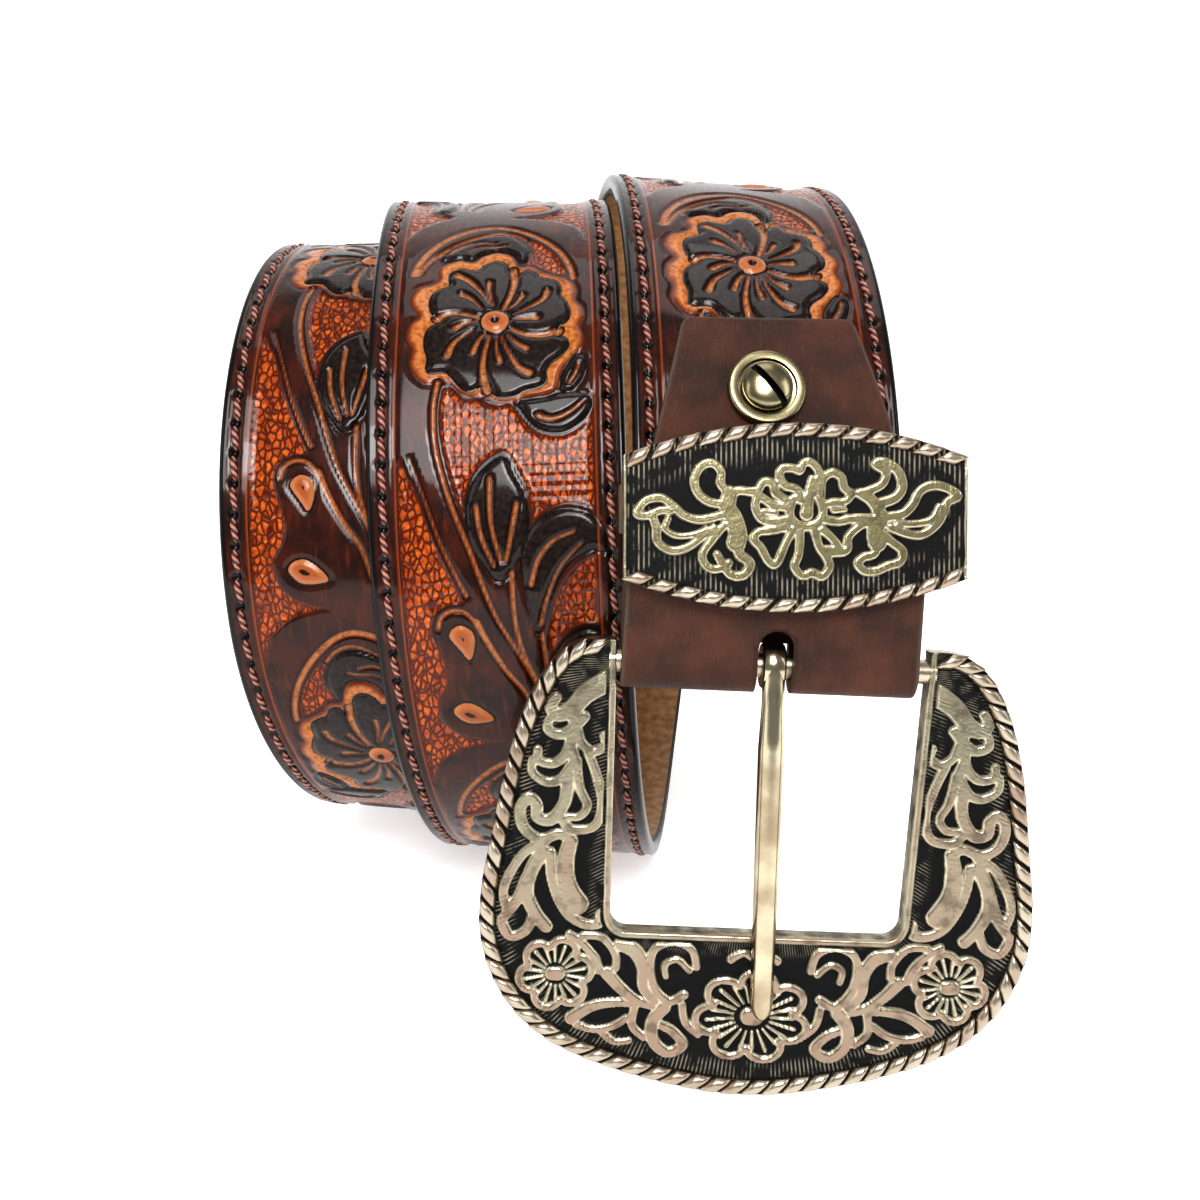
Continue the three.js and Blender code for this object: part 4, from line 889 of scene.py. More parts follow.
frame_grid = (np.arange(-43, 43.1, 0.2), np.arange(-68, 6.1, 0.2))
frame_cast = blank(frame_grid)
for stroke, head, tail in FRAME_STROKES:
    for hand in (1, -1):
        line = [(hand * x, -y) for x, y in stroke]
        more = 1.3 if stroke[0][1] < 40.5 else 1.08
        add_stroke(frame_grid, frame_cast, line, more * head + 0.15, more * tail + 0.15)
for x, y, radius, petals, start, wide in FLOWERS_CAST:
    cast_flower(frame_grid, frame_cast, x, -y, radius, petals, start, wide)
keeper_grid = (np.arange(-25, 25.1, 0.15), np.arange(-14, 14.1, 0.15))
keeper_cast = blank(keeper_grid)
for stroke, head, tail in KEEPER_STROKES:
    add_stroke(keeper_grid, keeper_cast, stroke, head + 0.25, tail + 0.25)
print("cast drawing covers", round(float((frame_cast > 0).mean()), 3), "of its grid")

# %% [markdown]
# The frame's skin runs like a ribbon from one horn round to the other. Each row goes from the
# outer edge across the ground to the window's edge, down the window's wall, along the back and up
# again, so both edges stay clean however rich the relief is. The rope border and the lip of the
# window have their own places, measured as distances from those two edges.

# %% Buckle frame
FRAME_WIDTH, FRAME_FRONT, RELIEF = 81.6, 1.3, 0.7
WINDOW_TAPER, WINDOW_DROP, WINDOW_CORNER = 0.8, 40, 2.6
OUTLINE = [
    (0.545, -0.048), (0.67, -0.04), (0.77, 0.01), (0.855, 0.11), (0.911, 0.235), (0.953, 0.39),
    (0.988, 0.545), (0.973, 0.67), (0.879, 0.795), (0.693, 0.895), (0.371, 0.967), (0, 1),
]
half_line = np.array([(h * FRAME_WIDTH / 2, -d * FRAME_REACH) for h, d in OUTLINE])
outer_line = smooth_line(np.vstack([half_line, half_line[-2::-1] * [-1, 1]]))
side = OUTLINE[0][0] * FRAME_WIDTH / 2
low = side - WINDOW_TAPER
turn = np.linspace(0, -np.pi / 2, 7)
bend = np.stack([low - WINDOW_CORNER + WINDOW_CORNER * np.cos(turn),
                 -WINDOW_DROP + WINDOW_CORNER + WINDOW_CORNER * np.sin(turn)], 1)
inner_half = np.vstack([half_line[:1], bend])
inner_line = np.vstack([inner_half, inner_half[::-1] * [-1, 1]])


def along_line(line, share):
    """Points at shares of a line's length, and that length."""
    steps = np.concatenate([[0], np.cumsum(np.linalg.norm(np.diff(line, axis=0), axis=1))])
    spots = np.stack([np.interp(share * steps[-1], steps, line[:, k]) for k in (0, 1)], 1)
    return spots, steps[-1]


def share_of(line, point):
    spots, _ = along_line(line, np.linspace(0, 1, 2001))
    return float(np.linspace(0, 1, 2001)[np.argmin(np.hypot(*(spots - point).T))])


corner_out = share_of(outer_line, (0.885 * FRAME_WIDTH / 2, -0.79 * FRAME_REACH))
corner_in = share_of(inner_line, bend[3])
shoulder = share_of(outer_line, half_line[3])
FRAME_ROWS, FRAME_COLUMNS = 880, 84
share = np.linspace(0.002, 0.998, FRAME_ROWS)
outer_points, outer_length = along_line(outer_line, share)
inner_share = np.interp(
    share,
    [0, shoulder, corner_out, 1 - corner_out, 1 - shoulder, 1],
    [0, 0.045, corner_in, 1 - corner_in, 0.955, 1],
)
inner_points, _ = along_line(inner_line, inner_share)
across = np.linspace(0, 1, FRAME_COLUMNS)[None, :, None]
spots = outer_points[:, None] * (1 - across) + inner_points[:, None] * across
u, v = spots[..., 0], spots[..., 1]
from_outer = distance_to(outer_line[::2], u, v)
from_inner = distance_to(inner_line, u, v)

# %% [markdown]
# The drawing is read at every point of the ribbon and kept clear of both edges. A smooth step
# turns the depth inside a stroke into its height, so the sides of the scrolls are steep and their
# tops are flat, as a casting that was polished on a wheel.

# %% Relief of the frame
metal = sample(frame_grid, frame_cast, u, v)
metal = np.minimum(metal, from_outer - 2.5)
metal = np.minimum(metal, from_inner - 1.4)
lip = 0.5 - np.abs(from_inner - 0.45)
hatch = smoothstep(from_outer, 2.2, 2.5) * (1 - smoothstep(from_outer, 4.2, 5.6))
hatch = np.maximum(hatch, 0.7 - 0.7 * smoothstep(from_inner, 2.2, 3.6))
height = FRAME_FRONT + RELIEF * smoothstep(metal, -0.14, 0.16)
height = np.maximum(height, FRAME_FRONT + 0.5 * smoothstep(lip, -0.25, 0.25))
height -= 0.25 * smoothstep(2.7 - from_outer, 0, 0.3) * smoothstep(from_outer, 0.1, 0.5)


def wall(points, heights):
    """Columns of the skin that stand over a line of the drawing, one for each height."""
    flat = np.repeat(points[:, None], len(heights), 1)
    return flat[..., 0], flat[..., 1], np.broadcast_to(np.array(heights, float), flat.shape[:2])


rings = [
    wall(outer_points * 0.99 + inner_points * 0.01, [-FRAME_BACK]),
    wall(outer_points, [-1.3, -0.2, 0.7]),
    (u, v, height),
    wall(inner_points, [0.7, -0.2, -1.3]),
    wall(outer_points * 0.04 + inner_points * 0.96, [-FRAME_BACK]),
    wall(outer_points * 0.35 + inner_points * 0.65, [-FRAME_BACK]),
    wall(outer_points * 0.7 + inner_points * 0.3, [-FRAME_BACK]),
]
u, v, z = (np.hstack([r[k] for r in rings]) for k in range(3))
buckle = tube_piece("buckle_cast_frame", on_buckle(u, v, z))
ahead = 4  # columns of the outer wall, before the relief starts
behind = z.shape[1] - FRAME_COLUMNS - ahead


def pad_row(values, fill):
    """A value of the relief for every point of the skin, with one filling for the plain ones."""
    return np.pad(values, ((0, 0), (ahead, behind)), constant_values=fill).ravel()


metal_and_wall_shade = pad_row(np.maximum(metal, lip), 0.6).reshape(z.shape)
# The window's wall gets the black of the ground, a painted shade.
metal_and_wall_shade[:, ahead + FRAME_COLUMNS : ahead + FRAME_COLUMNS + 3] = -0.02  # the window's wall
write_value(buckle, "metal", metal_and_wall_shade.ravel())
write_value(buckle, "hatch", pad_row(hatch, 0))
write_value(buckle, "arc", np.repeat(share * outer_length, z.shape[1]))
write_place(buckle, "plane", u, v, z)
print("frame faces:", len(buckle.data.polygons), "outline", round(outer_length, 1), "mm")

# %% [markdown]
# The bar is cast in one with the frame and mostly hidden in the fold. The tongue is bent round it:
# an eye, and a half-round shaft that climbs to the lower rail and lies on it with a blunt end.

# %% Bar and tongue
turn = np.linspace(0, 2 * np.pi, 40, endpoint=False)
BAR_RADIUS = THICK / 2
bar = tube_piece(
    "buckle_bar",
    on_buckle(np.array([[-side - 1], [side + 1]]), BAR_RADIUS * np.sin(turn), BAR_RADIUS * np.cos(turn)),
)
EYE_WALL = 1.35
EYE_BORE = BAR_RADIUS + 0.25
EYE_OUT = EYE_BORE + EYE_WALL
loop = np.array([
    (-1.6, 0.15), (-1.35, 0), (1.35, 0), (1.6, 0.15), (1.6, 1.05), (1.3, EYE_WALL),
    (-1.3, EYE_WALL), (-1.6, 1.05),
])
turn = np.linspace(0, 2 * np.pi, 48, endpoint=False)[:, None]
radius = EYE_BORE + loop[:, 1]
eye_points = on_buckle(loop[:, 0] + 0 * turn, radius * np.sin(turn), radius * np.cos(turn))
count = len(loop)
faces = tube_faces(len(turn) + 1, count) % (len(turn) * count)
eye = make_piece("tongue_eye", eye_points.reshape(-1, 3), faces)
print("bar and eye:", len(bar.data.polygons), "and", len(eye.data.polygons), "faces")

# %% [markdown]
# The shaft is a skin through half-round sections. Lists of shares say how wide and how high it is
# on its way from the eye to the end, and the last few sections shrink along a quarter circle, so
# the end is blunt and round.

# %% Tongue shaft
TONGUE_WIDTH, TONGUE_HEIGHT, TONGUE_FAR = 3.7, 2.5, WINDOW_DROP + 12
rail_top = FRAME_FRONT + RELIEF + CLEAR
way = np.concatenate([np.linspace(0, 0.955, 70), 0.955 + 0.045 * np.sin(np.linspace(0.1, 1.5, 12))])
wide = np.interp(way, [0, 0.05, 0.1, 0.22, 0.9, 0.955], [0.9, 0.86, 0.84, 1, 0.93, 0.9])
high = np.interp(way, [0, 0.03, 0.1, 0.2, 0.9, 0.955], [0.56, 0.62, 0.85, 1, 0.97, 0.94])
round_end = np.sqrt(np.clip(1 - ((way - 0.955) / 0.0455) ** 2, 0.002, 1))
round_end = np.where(way > 0.955, round_end, 1)
wide, high = wide * round_end, high * (0.35 + 0.65 * round_end)
drop = TONGUE_FAR * way
foot = EYE_BORE + 0.02 - 0.3 * smoothstep(drop, 0, 4)
foot = foot + (rail_top - foot) * np.minimum(1, drop / WINDOW_DROP) + 0.25 * (1 - round_end)
turn = np.linspace(0, np.pi, 19)
section_u = np.concatenate([np.cos(turn), [-0.97, -0.8, 0, 0.8, 0.97]]) * TONGUE_WIDTH / 2
section_z = np.concatenate([0.12 + 0.88 * np.sin(turn) ** 0.95, [0.04, 0, 0, 0, 0.04]])
section_z = section_z * TONGUE_HEIGHT
lean = (1.3 * way)[:, None]  # the shaft lies a little slanted, as it turns loosely on the bar
shaft = on_buckle(section_u * wide[:, None] + lean, -drop[:, None] + 0 * section_u,
                  foot[:, None] + section_z * high[:, None])
wrap = np.radians(np.linspace(100, 8, 12))[:, None]
bow = foot[0] + section_z * high[0]
round_bar = on_buckle(section_u * wide[0], bow * np.sin(wrap), bow * np.cos(wrap))
tongue = tube_piece("tongue_shaft", np.concatenate([round_bar, shaft]))
print("tongue length", round(TONGUE_FAR + EYE_OUT, 1), "mm")

# %% [markdown]
# The keeper's front is a barrel-shaped plate with the same kind of relief, and a flat strip goes
# round behind the leather. Plate and strip are two closed skins that meet at the plate's ends.

# %% Keeper
KEEPER_SEAT, KEEPER_RISE, KEEPER_STRIP, KEEPER_WALL, KEEPER_PLATE = 21, 1.6, 7, 1.1, 1.8
KEEPER_END, KEEPER_BULGE, KEEPER_ROOM = 16.8, 9, 4.2
strip_low = KEEPER_SEAT + KEEPER_RISE - KEEPER_STRIP / 2
leather_left = max(STRAP_WIDTH / 2, chape_half(strip_low) - CHAPE_SHIFT)
leather_right = max(STRAP_WIDTH / 2, chape_half(strip_low) + CHAPE_SHIFT)
KEEPER_INNER = (leather_left + leather_right + 2 * CLEAR + KEEPER_ROOM) / 2
KEEPER_SHIFT = KEEPER_INNER - leather_left - CLEAR
KEEPER_HALF = KEEPER_INNER + KEEPER_WALL
k_side, k_along, k_out, k_place = strap_axes(KEEPER_SEAT, KEEPER_SHIFT)
k_place = k_place + k_out * (CHAPE_TOP + CLEAR)


def on_keeper(x, y, z):
    """Points in mm from offsets across the keeper, along the strap and out of it."""
    x, y, z = np.broadcast_arrays(*(np.asarray(k, float) for k in (x, y, z)))
    return k_place + x[..., None] * k_side + y[..., None] * k_along + z[..., None] * k_out


def keeper_rise(x):
    """Half the height of the plate, which bulges towards its middle."""
    return (KEEPER_END + KEEPER_BULGE * (1 - (x / KEEPER_HALF) ** 2)) / 2


rows_x = np.linspace(-KEEPER_HALF, KEEPER_HALF, 240)[:, None]
share = np.linspace(-1, 1, 130)[None, :]
top_y = share * keeper_rise(rows_x)
top_x = rows_x + 0 * top_y
from_rope = keeper_rise(rows_x) - np.abs(top_y)
from_end = KEEPER_HALF - np.abs(top_x)
metal = sample(keeper_grid, keeper_cast, top_x, top_y)
metal = np.minimum(metal, from_rope - 2)
end_lip = 0.3 - from_end
height = KEEPER_PLATE + 0.6 * smoothstep(metal, -0.14, 0.16)
height = np.maximum(height, KEEPER_PLATE + 0.35 * smoothstep(end_lip, -0.3, 0.1))
height -= 0.2 * smoothstep(1.95 - from_rope, 0, 0.3) * smoothstep(from_rope, 0.1, 0.4)
rise = keeper_rise(rows_x)
low, high, seat = (np.full_like(rise, level) for level in (0.3, 1.2, 0))
y = np.hstack([-rise, -rise, top_y, rise, rise, rise * 0.96, rise * 0.3, -rise * 0.3, -rise * 0.96])
z = np.hstack([low, high, height, high, low, *[seat] * 4])
keeper = tube_piece("keeper_cast_plate", on_keeper(rows_x, y, z))
pad = ((0, 0), (2, 6))
write_value(keeper, "metal", np.pad(np.maximum(metal, end_lip), pad, constant_values=0.6).ravel())
hatch = 1 - smoothstep(from_rope, 3.6, 6.4) * smoothstep(from_end, 2, 5)
write_value(keeper, "hatch", np.pad(hatch, pad, constant_values=0).ravel())
write_value(keeper, "arc", np.repeat(rows_x.ravel(), y.shape[1]))
write_place(keeper, "plane", rows_x, y, z)
print("keeper plate:", len(keeper.data.polygons), "faces, half", round(KEEPER_HALF, 2), "mm")

# %% [markdown]
# The flat strip is swept along a path: down one side, round two small corners, across behind the
# leather and up the other side. Its depth allows for the bend of the strap at that place.

# %% Keeper strip
curve = (KEEPER_RISE + KEEPER_STRIP / 2) ** 2 / RADIUS
behind = CHAPE_TOP + CLEAR - (BACK_BOTTOM - CLEAR) + curve
mid_x, mid_z, bend = KEEPER_HALF - KEEPER_WALL / 2, -behind - KEEPER_WALL / 2, 1.1
turn = np.linspace(0, np.pi / 2, 7)
path = [(mid_x, 0.6), (mid_x, -3), (mid_x, mid_z + bend)]
path += [(mid_x - bend + bend * math.cos(a), mid_z + bend - bend * math.sin(a)) for a in turn[1:]]
path = np.array(path + [(-x, z) for x, z in path[::-1]])
heading = unit(np.gradient(path, axis=0))
normal = np.stack([heading[:, 1], -heading[:, 0]], 1)
strip_y = KEEPER_STRIP / 2 * np.array([-1, -0.94, 0.94, 1, 1, 0.94, -0.94, -1]) + KEEPER_RISE
strip_n = KEEPER_WALL / 2 * np.array([-0.6, -1, -1, -0.6, 0.6, 1, 1, 0.6])
strip_x = path[:, :1] + normal[:, :1] * strip_n
strip_z = path[:, 1:] + normal[:, 1:] * strip_n
keeper_strip = tube_piece("keeper_strip", on_keeper(strip_x, strip_y, strip_z))
print("keeper strip:", len(keeper_strip.data.polygons), "faces")

# %% [markdown]
# The screw, its ring and the post behind are turned parts: a profile spun round one axis. The
# head's slot is cut by a Boolean with a thin bar, and the ring is stepped to hold the head.


# %% Screw, washer and post
s_side, s_along, s_out, s_place = strap_axes(SCREW_AT, SCREW_SHIFT)


def spun_piece(name, profile, closed, sides=56):
    """A profile of radius and height spun round the screw's axis."""
    profile = np.asarray(profile, float)
    turn = np.linspace(0, 2 * np.pi, sides, endpoint=False)[:, None]
    r, h = profile[:, 0], profile[:, 1]
    ring = (r * np.cos(turn))[..., None] * s_side + (r * np.sin(turn))[..., None] * s_along
    spots = s_place + ring + h[:, None] * s_out
    count = len(profile)
    if closed:
        faces = tube_faces(sides + 1, count) % (sides * count)
        return make_piece(name, spots.reshape(-1, 3), faces)
    return tube_piece(name, spots.transpose(1, 0, 2))


def rounded(profile, radius=0.12, steps=3):
    """A closed profile with its corners turned by a small radius."""
    p = np.asarray(profile, float)
    made = []
    for before, here, after in zip(np.roll(p, 1, 0), p, np.roll(p, -1, 0)):
        a = here + unit(before - here) * radius
        b = here + unit(after - here) * radius
        for t in np.linspace(0, 1, steps):
            made.append((1 - t) ** 2 * a + 2 * t * (1 - t) * here + t * t * b)
    return np.array(made)


BORE, SHANK, DOME, WASHER, SEAT = 1.7, 1.4, 3.52, 5.5, 4.15
foot = CHAPE_TOP + CLEAR
washer_profile = [
    (BORE, foot), (WASHER, foot), (WASHER, foot + 0.96), (WASHER - 0.25, foot + 1.2),
    (SEAT, foot + 1.2), (SEAT, foot + 0.5), (BORE, foot + 0.5),
]
washer = spun_piece("washer_ring", rounded(washer_profile, 0.1), True)
head = foot + CLEAR + 0.5
arc = np.linspace(0.06, np.pi / 2, 14)
dome = [(0.02 + 3.5 * math.cos(a), head + 0.6 + 1.5 * math.sin(a)) for a in arc]
screw_profile = [
    (0.02, BACK_BOTTOM + 1.8), (SHANK, BACK_BOTTOM + 1.85), (SHANK, head), (3.4, head),
    (DOME, head + 0.15), (DOME, head + 0.5), *dome,
]
screw = spun_piece("screw_dome_head", screw_profile, False)
print("washer and screw:", len(washer.data.polygons), "and", len(screw.data.polygons), "faces")

# %% [markdown]
# The slot of the head is turned as on the photograph. Its walls are painted near black later, as
# painted shade, so the script notes here which faces of the cut screw lie in the slot. Behind the
# chape stands the post, a tube with a flange.

# %% Slot of the screw and post
SLOT_SLANT = math.radians(-52)
slot_way = math.cos(SLOT_SLANT) * s_side + math.sin(SLOT_SLANT) * s_along
slot_wide = math.cos(SLOT_SLANT) * s_along - math.sin(SLOT_SLANT) * s_side
SLOT_HALF, SLOT_LONG = 0.5, 6
signs = ((-1, -1), (1, -1), (1, 1), (-1, 1))
ring = [a * SLOT_LONG * slot_way + b * SLOT_HALF * slot_wide for a, b in signs]
ends = [[s_place + c + h * s_out for c in ring] for h in (head + 0.5, head + 4)]
screw = cut_with(screw, tube_piece("slot_bar", ends))
middles = np.empty(len(screw.data.polygons) * 3, np.float32)
screw.data.polygons.foreach_get("center", middles)
middles = middles.reshape(-1, 3) / MM - s_place
off_slot = np.abs(middles @ slot_wide)
above = middles @ s_out
slot_faces = (off_slot < SLOT_HALF + 0.02) & (above > head + 0.3)
back = BACK_BOTTOM - CLEAR * 1.5
POST, FLANGE = 2.2, 4.4
post_profile = [
    (BORE, CHAPE_TOP - CLEAR), (POST, CHAPE_TOP - CLEAR), (POST, back), (FLANGE, back),
    (FLANGE, back - 1), (BORE, back - 1),
]
post = spun_piece("post_tube", rounded(post_profile, 0.1), True)
print("faces in the slot:", int(slot_faces.sum()), "of", len(screw.data.polygons))

# %% [markdown]
# Every finish is procedural. A few short helpers keep the graphs readable: each returns a socket
# that the next one takes. The patterns read the mesh's own numbers, such as the depth inside a
# leaf, or the part's own coordinates, so nothing slides when a piece moves.


# %% Material tools
class Finish:
    """One material with a Principled shader, and the nodes that feed it."""

    def __init__(self, name):
        self.material = bpy.data.materials.new(name)
        self.material.use_nodes = True
        self.nodes, self.links = self.material.node_tree.nodes, self.material.node_tree.links
        self.shader = self.nodes["Principled BSDF"]

    def node(self, kind, wanted=0, **sockets):
        node = self.nodes.new(kind)
        for name, value in sockets.items():
            key = int(name[1:]) if name[1:].isdigit() else name.replace("_", " ")
            self.feed(node.inputs[key], value)
        return node.outputs[wanted]

    def feed(self, socket, value):
        if isinstance(value, bpy.types.NodeSocket):
            self.links.new(value, socket)
        elif isinstance(value, str):
            socket.default_value = colour(value)
        else:
            socket.default_value = value

    def math(self, operation, a, b=0.0):
        out = self.node("ShaderNodeMath", i0=a, i1=b)
        out.node.operation = operation
        return out

    def times(self, a, b):
        return self.math("MULTIPLY", a, b)

    def plus(self, a, b):
        return self.math("ADD", a, b)

    def value(self, name):
        """A number that the mesh keeps."""
        out = self.node("ShaderNodeAttribute", "Fac")
        out.node.attribute_name = name
        return out

    def spot(self, name=""):
        """The part's own coordinates, or three numbers that the mesh keeps."""
        if not name:
            return self.node("ShaderNodeTexCoord", "Object")
        out = self.node("ShaderNodeAttribute", "Vector")
        out.node.attribute_name = name
        return out

    def step(self, value, low, high):
        """Rises softly from 0 at low to 1 at high."""
        out = self.node("ShaderNodeMapRange", Value=value, From_Min=low, From_Max=high)
        out.node.interpolation_type = "SMOOTHSTEP"
        return out

    def noise(self, place, scale, detail=3.0, stretch=(1, 1, 1)):
        moved = self.node("ShaderNodeMapping", Vector=place, Scale=stretch)
        return self.node("ShaderNodeTexNoise", Vector=moved, Scale=scale, Detail=detail)

    def mix(self, share, a, b):
        out = self.node("ShaderNodeMix", 2, i0=share, i6=a, i7=b)
        out.node.data_type = "RGBA"
        return out

    def bump(self, height, strength, distance):
        relief = self.node("ShaderNodeBump", Height=height, Strength=strength, Distance=distance)
        self.feed(self.shader.inputs["Normal"], relief)

    def set(self, **sockets):
        for name, value in sockets.items():
            self.feed(self.shader.inputs[name.replace("_", " ")], value)
        return self


def colour(text):
    """A #rrggbb colour as the linear numbers that Blender wants."""
    parts = [int(text[k : k + 2], 16) / 255 for k in (1, 3, 5)]
    return [*((c / 12.92 if c < 0.04045 else ((c + 0.055) / 1.055) ** 2.4) for c in parts), 1.0]


# %% [markdown]
# The strap was dyed by hand and sealed with a hard gloss: black leaves, an orange stamped ground
# that darkens towards the edges of its fields, a tan scalloped border, tan veins with dark cuts
# beside them, and a very dark brown for the rest. The pits of the stamp stay dark, as dye and
# wax gather there. The colours run a little into each other, so each step is soft and uneven.

# %% Tooled leather
tooled = Finish("tooled_leather")
place = tooled.spot("flat")
blotch = tooled.noise(place, 1.6, 4)
fine = tooled.noise(place, 12.0, 5)
grain = tooled.noise(place, 40.0, 4)
uneven = tooled.times(tooled.math("SUBTRACT", fine, 0.5), 0.22)


def wobbly(name, low, high):
    return tooled.step(tooled.plus(tooled.value(name), uneven), low, high)


def stroke_dye_and_shade(name, edge, core, low, high):
    """A painted stroke, uneven along it, darkened at its edge by thin dye and painted shade."""
    inner = tooled.mix(tooled.times(tooled.step(fine, 0.42, 0.66), 0.6), core, edge)
    return tooled.mix(tooled.step(tooled.value(name), low, high), edge, inner)



# %% [markdown]
# The colours are laid on as the painter does: the brown body first, the stamped ground on it,
# then the border, the leaves, the lines, the veins and the seeds. Around each drawn part a narrow
# dark step comes before its own colour, and this reads as the cut of the knife.

# %% Paint of the leather
body = tooled.mix(tooled.step(blotch, 0.35, 0.7), "#230f09", "#40190d")
body = tooled.mix(tooled.step(tooled.noise(place, 3.0, 3, (3, 0.6, 1)), 0.5, 0.78), body, "#54220f")
slanted = tooled.node("ShaderNodeMapping", Vector=place, Rotation=(0, 0, 0.6), Scale=(1, 0.6, 1))
stamp = tooled.node("ShaderNodeTexVoronoi", "Distance", Vector=slanted, Scale=10.5, Randomness=0.75)
stamp.node.feature = "DISTANCE_TO_EDGE"
cells = tooled.step(stamp, 0.0, 0.2)
stamped = tooled.mix(tooled.step(fine, 0.38, 0.66), "#9a3a0a", "#c96c24")
stamped = tooled.mix(tooled.step(blotch, 0.42, 0.7), stamped, "#a04310")
stamped = tooled.mix(cells, "#4c1404", stamped)
stamped = tooled.mix(wobbly("ground", 0.0, 0.6), "#4c1606", stamped)
leaf = tooled.mix(tooled.step(fine, 0.35, 0.7), "#110b09", "#2c1c16")
paint = tooled.mix(wobbly("ground", -0.05, 0.2), body, stamped)
# Border, lines and veins darken towards their edges: partly thinner dye, partly painted shade on the
# walls of their cuts.
paint = tooled.mix(wobbly("band", -0.1, 0.1), paint, stroke_dye_and_shade("band", "#6a2809", "#b8733a", 0.1, 1.1))
paint = tooled.mix(tooled.step(tooled.value("leaf"), -0.42, -0.2), paint, "#0c0504")
paint = tooled.mix(wobbly("leaf", -0.1, 0.1), paint, leaf)
paint = tooled.mix(tooled.step(tooled.value("line"), -0.32, -0.12), paint, "#140806")
paint = tooled.mix(wobbly("line", -0.08, 0.08), paint, stroke_dye_and_shade("line", "#541f0a", "#a5693a", 0.05, 0.4))
paint = tooled.mix(tooled.step(tooled.value("vein"), -0.3, -0.1), paint, "#080505")
paint = tooled.mix(wobbly("vein", -0.06, 0.08), paint, stroke_dye_and_shade("vein", "#4e1f0b", "#a86e40", 0.05, 0.4))
paint = tooled.mix(tooled.step(tooled.value("seed"), -0.45, -0.2), paint, "#100706")
seed = tooled.mix(tooled.step(tooled.value("seed"), 0.3, 1.1), "#ac6c42", "#98522a")
seed = tooled.mix(tooled.step(tooled.value("seed"), 1.35, 1.5), seed, "#240f08")
paint = tooled.mix(wobbly("seed", -0.05, 0.1), paint, seed)
paint = tooled.mix(tooled.step(tooled.value("score"), 0.02, 0.26), paint, "#9c4516")
# The holes where the thread sinks in are painted near black, a painted shade.
paint = tooled.mix(tooled.step(tooled.value("pit"), -0.1, 0.2), paint, "#060303")
paint = tooled.mix(tooled.step(tooled.value("rim"), 0.7, 0.1), paint, "#0d0706")
stamp_height = tooled.times(tooled.times(cells, wobbly("ground", 0.0, 0.4)), 0.26)
grain_height = tooled.times(tooled.plus(grain, fine), 0.05)
tooled.bump(tooled.plus(stamp_height, grain_height), 1.0, 0.001)
tooled.set(Base_Color=paint, Roughness=tooled.plus(tooled.times(fine, 0.2), 0.2))
tooled.set(Coat_Weight=0.48, Coat_Roughness=0.09, Specular_IOR_Level=0.06)
print("tooled leather:", len(tooled.nodes), "nodes")

# %% [markdown]
# The plain leathers are simple: the lining is natural tan with faint fibres, the fold is a matt
# chocolate brown with burnished grey edges and light scratches from use. The waxed thread is
# striped along its twist: a painted pinkish highlight on each strand, and painted shade where its
# turns sink in.

# %% Plain leather and thread
lined = Finish("lining_leather")
place = lined.spot("flat")
fibre = lined.noise(place, 5.0, 6, (1, 1, 1))
hide = lined.mix(lined.step(fibre, 0.3, 0.72), "#8a6038", "#b48c5c")
hide = lined.mix(lined.step(lined.value("rim"), 0.5, 0.3), hide, "#150b08")
lined.set(Base_Color=hide, Roughness=0.6)
lined.bump(lined.noise(place, 60.0, 5), 0.25, 0.0002)

plain = Finish("chape_leather")
place = plain.spot("flat")
cloud = plain.noise(place, 1.1, 5)
scratch = plain.noise(place, 9.0, 4, (5, 0.35, 1))
skin = plain.mix(plain.step(cloud, 0.3, 0.72), "#321b12", "#552f20")
skin = plain.mix(plain.times(plain.step(scratch, 0.58, 0.75), 0.35), skin, "#6b5442")
worn_edge = plain.step(plain.plus(plain.value("rim"), plain.times(cloud, 0.9)), 1.3, 0.5)
skin = plain.mix(plain.times(worn_edge, 0.6), skin, "#5f5446")
plain.set(Base_Color=skin, Roughness=plain.plus(plain.times(cloud, 0.2), 0.42))
plain.set(Specular_IOR_Level=0.3)
plain.bump(plain.plus(plain.noise(place, 45.0, 6), scratch), 0.7, 0.0003)

thread = Finish("stitch_thread")
# The twist stripes are painted light and shade: a pinkish highlight on each strand, dark between.
ply = thread.math("SINE", thread.value("ply"))
thread.set(Base_Color=thread.mix(thread.step(ply, -0.7, 0.8), "#43190f", "#b9806f"), Roughness=0.42)
thread.bump(ply, 0.8, 0.0002)
print("leather finishes:", tooled.material.name, lined.material.name, plain.material.name)
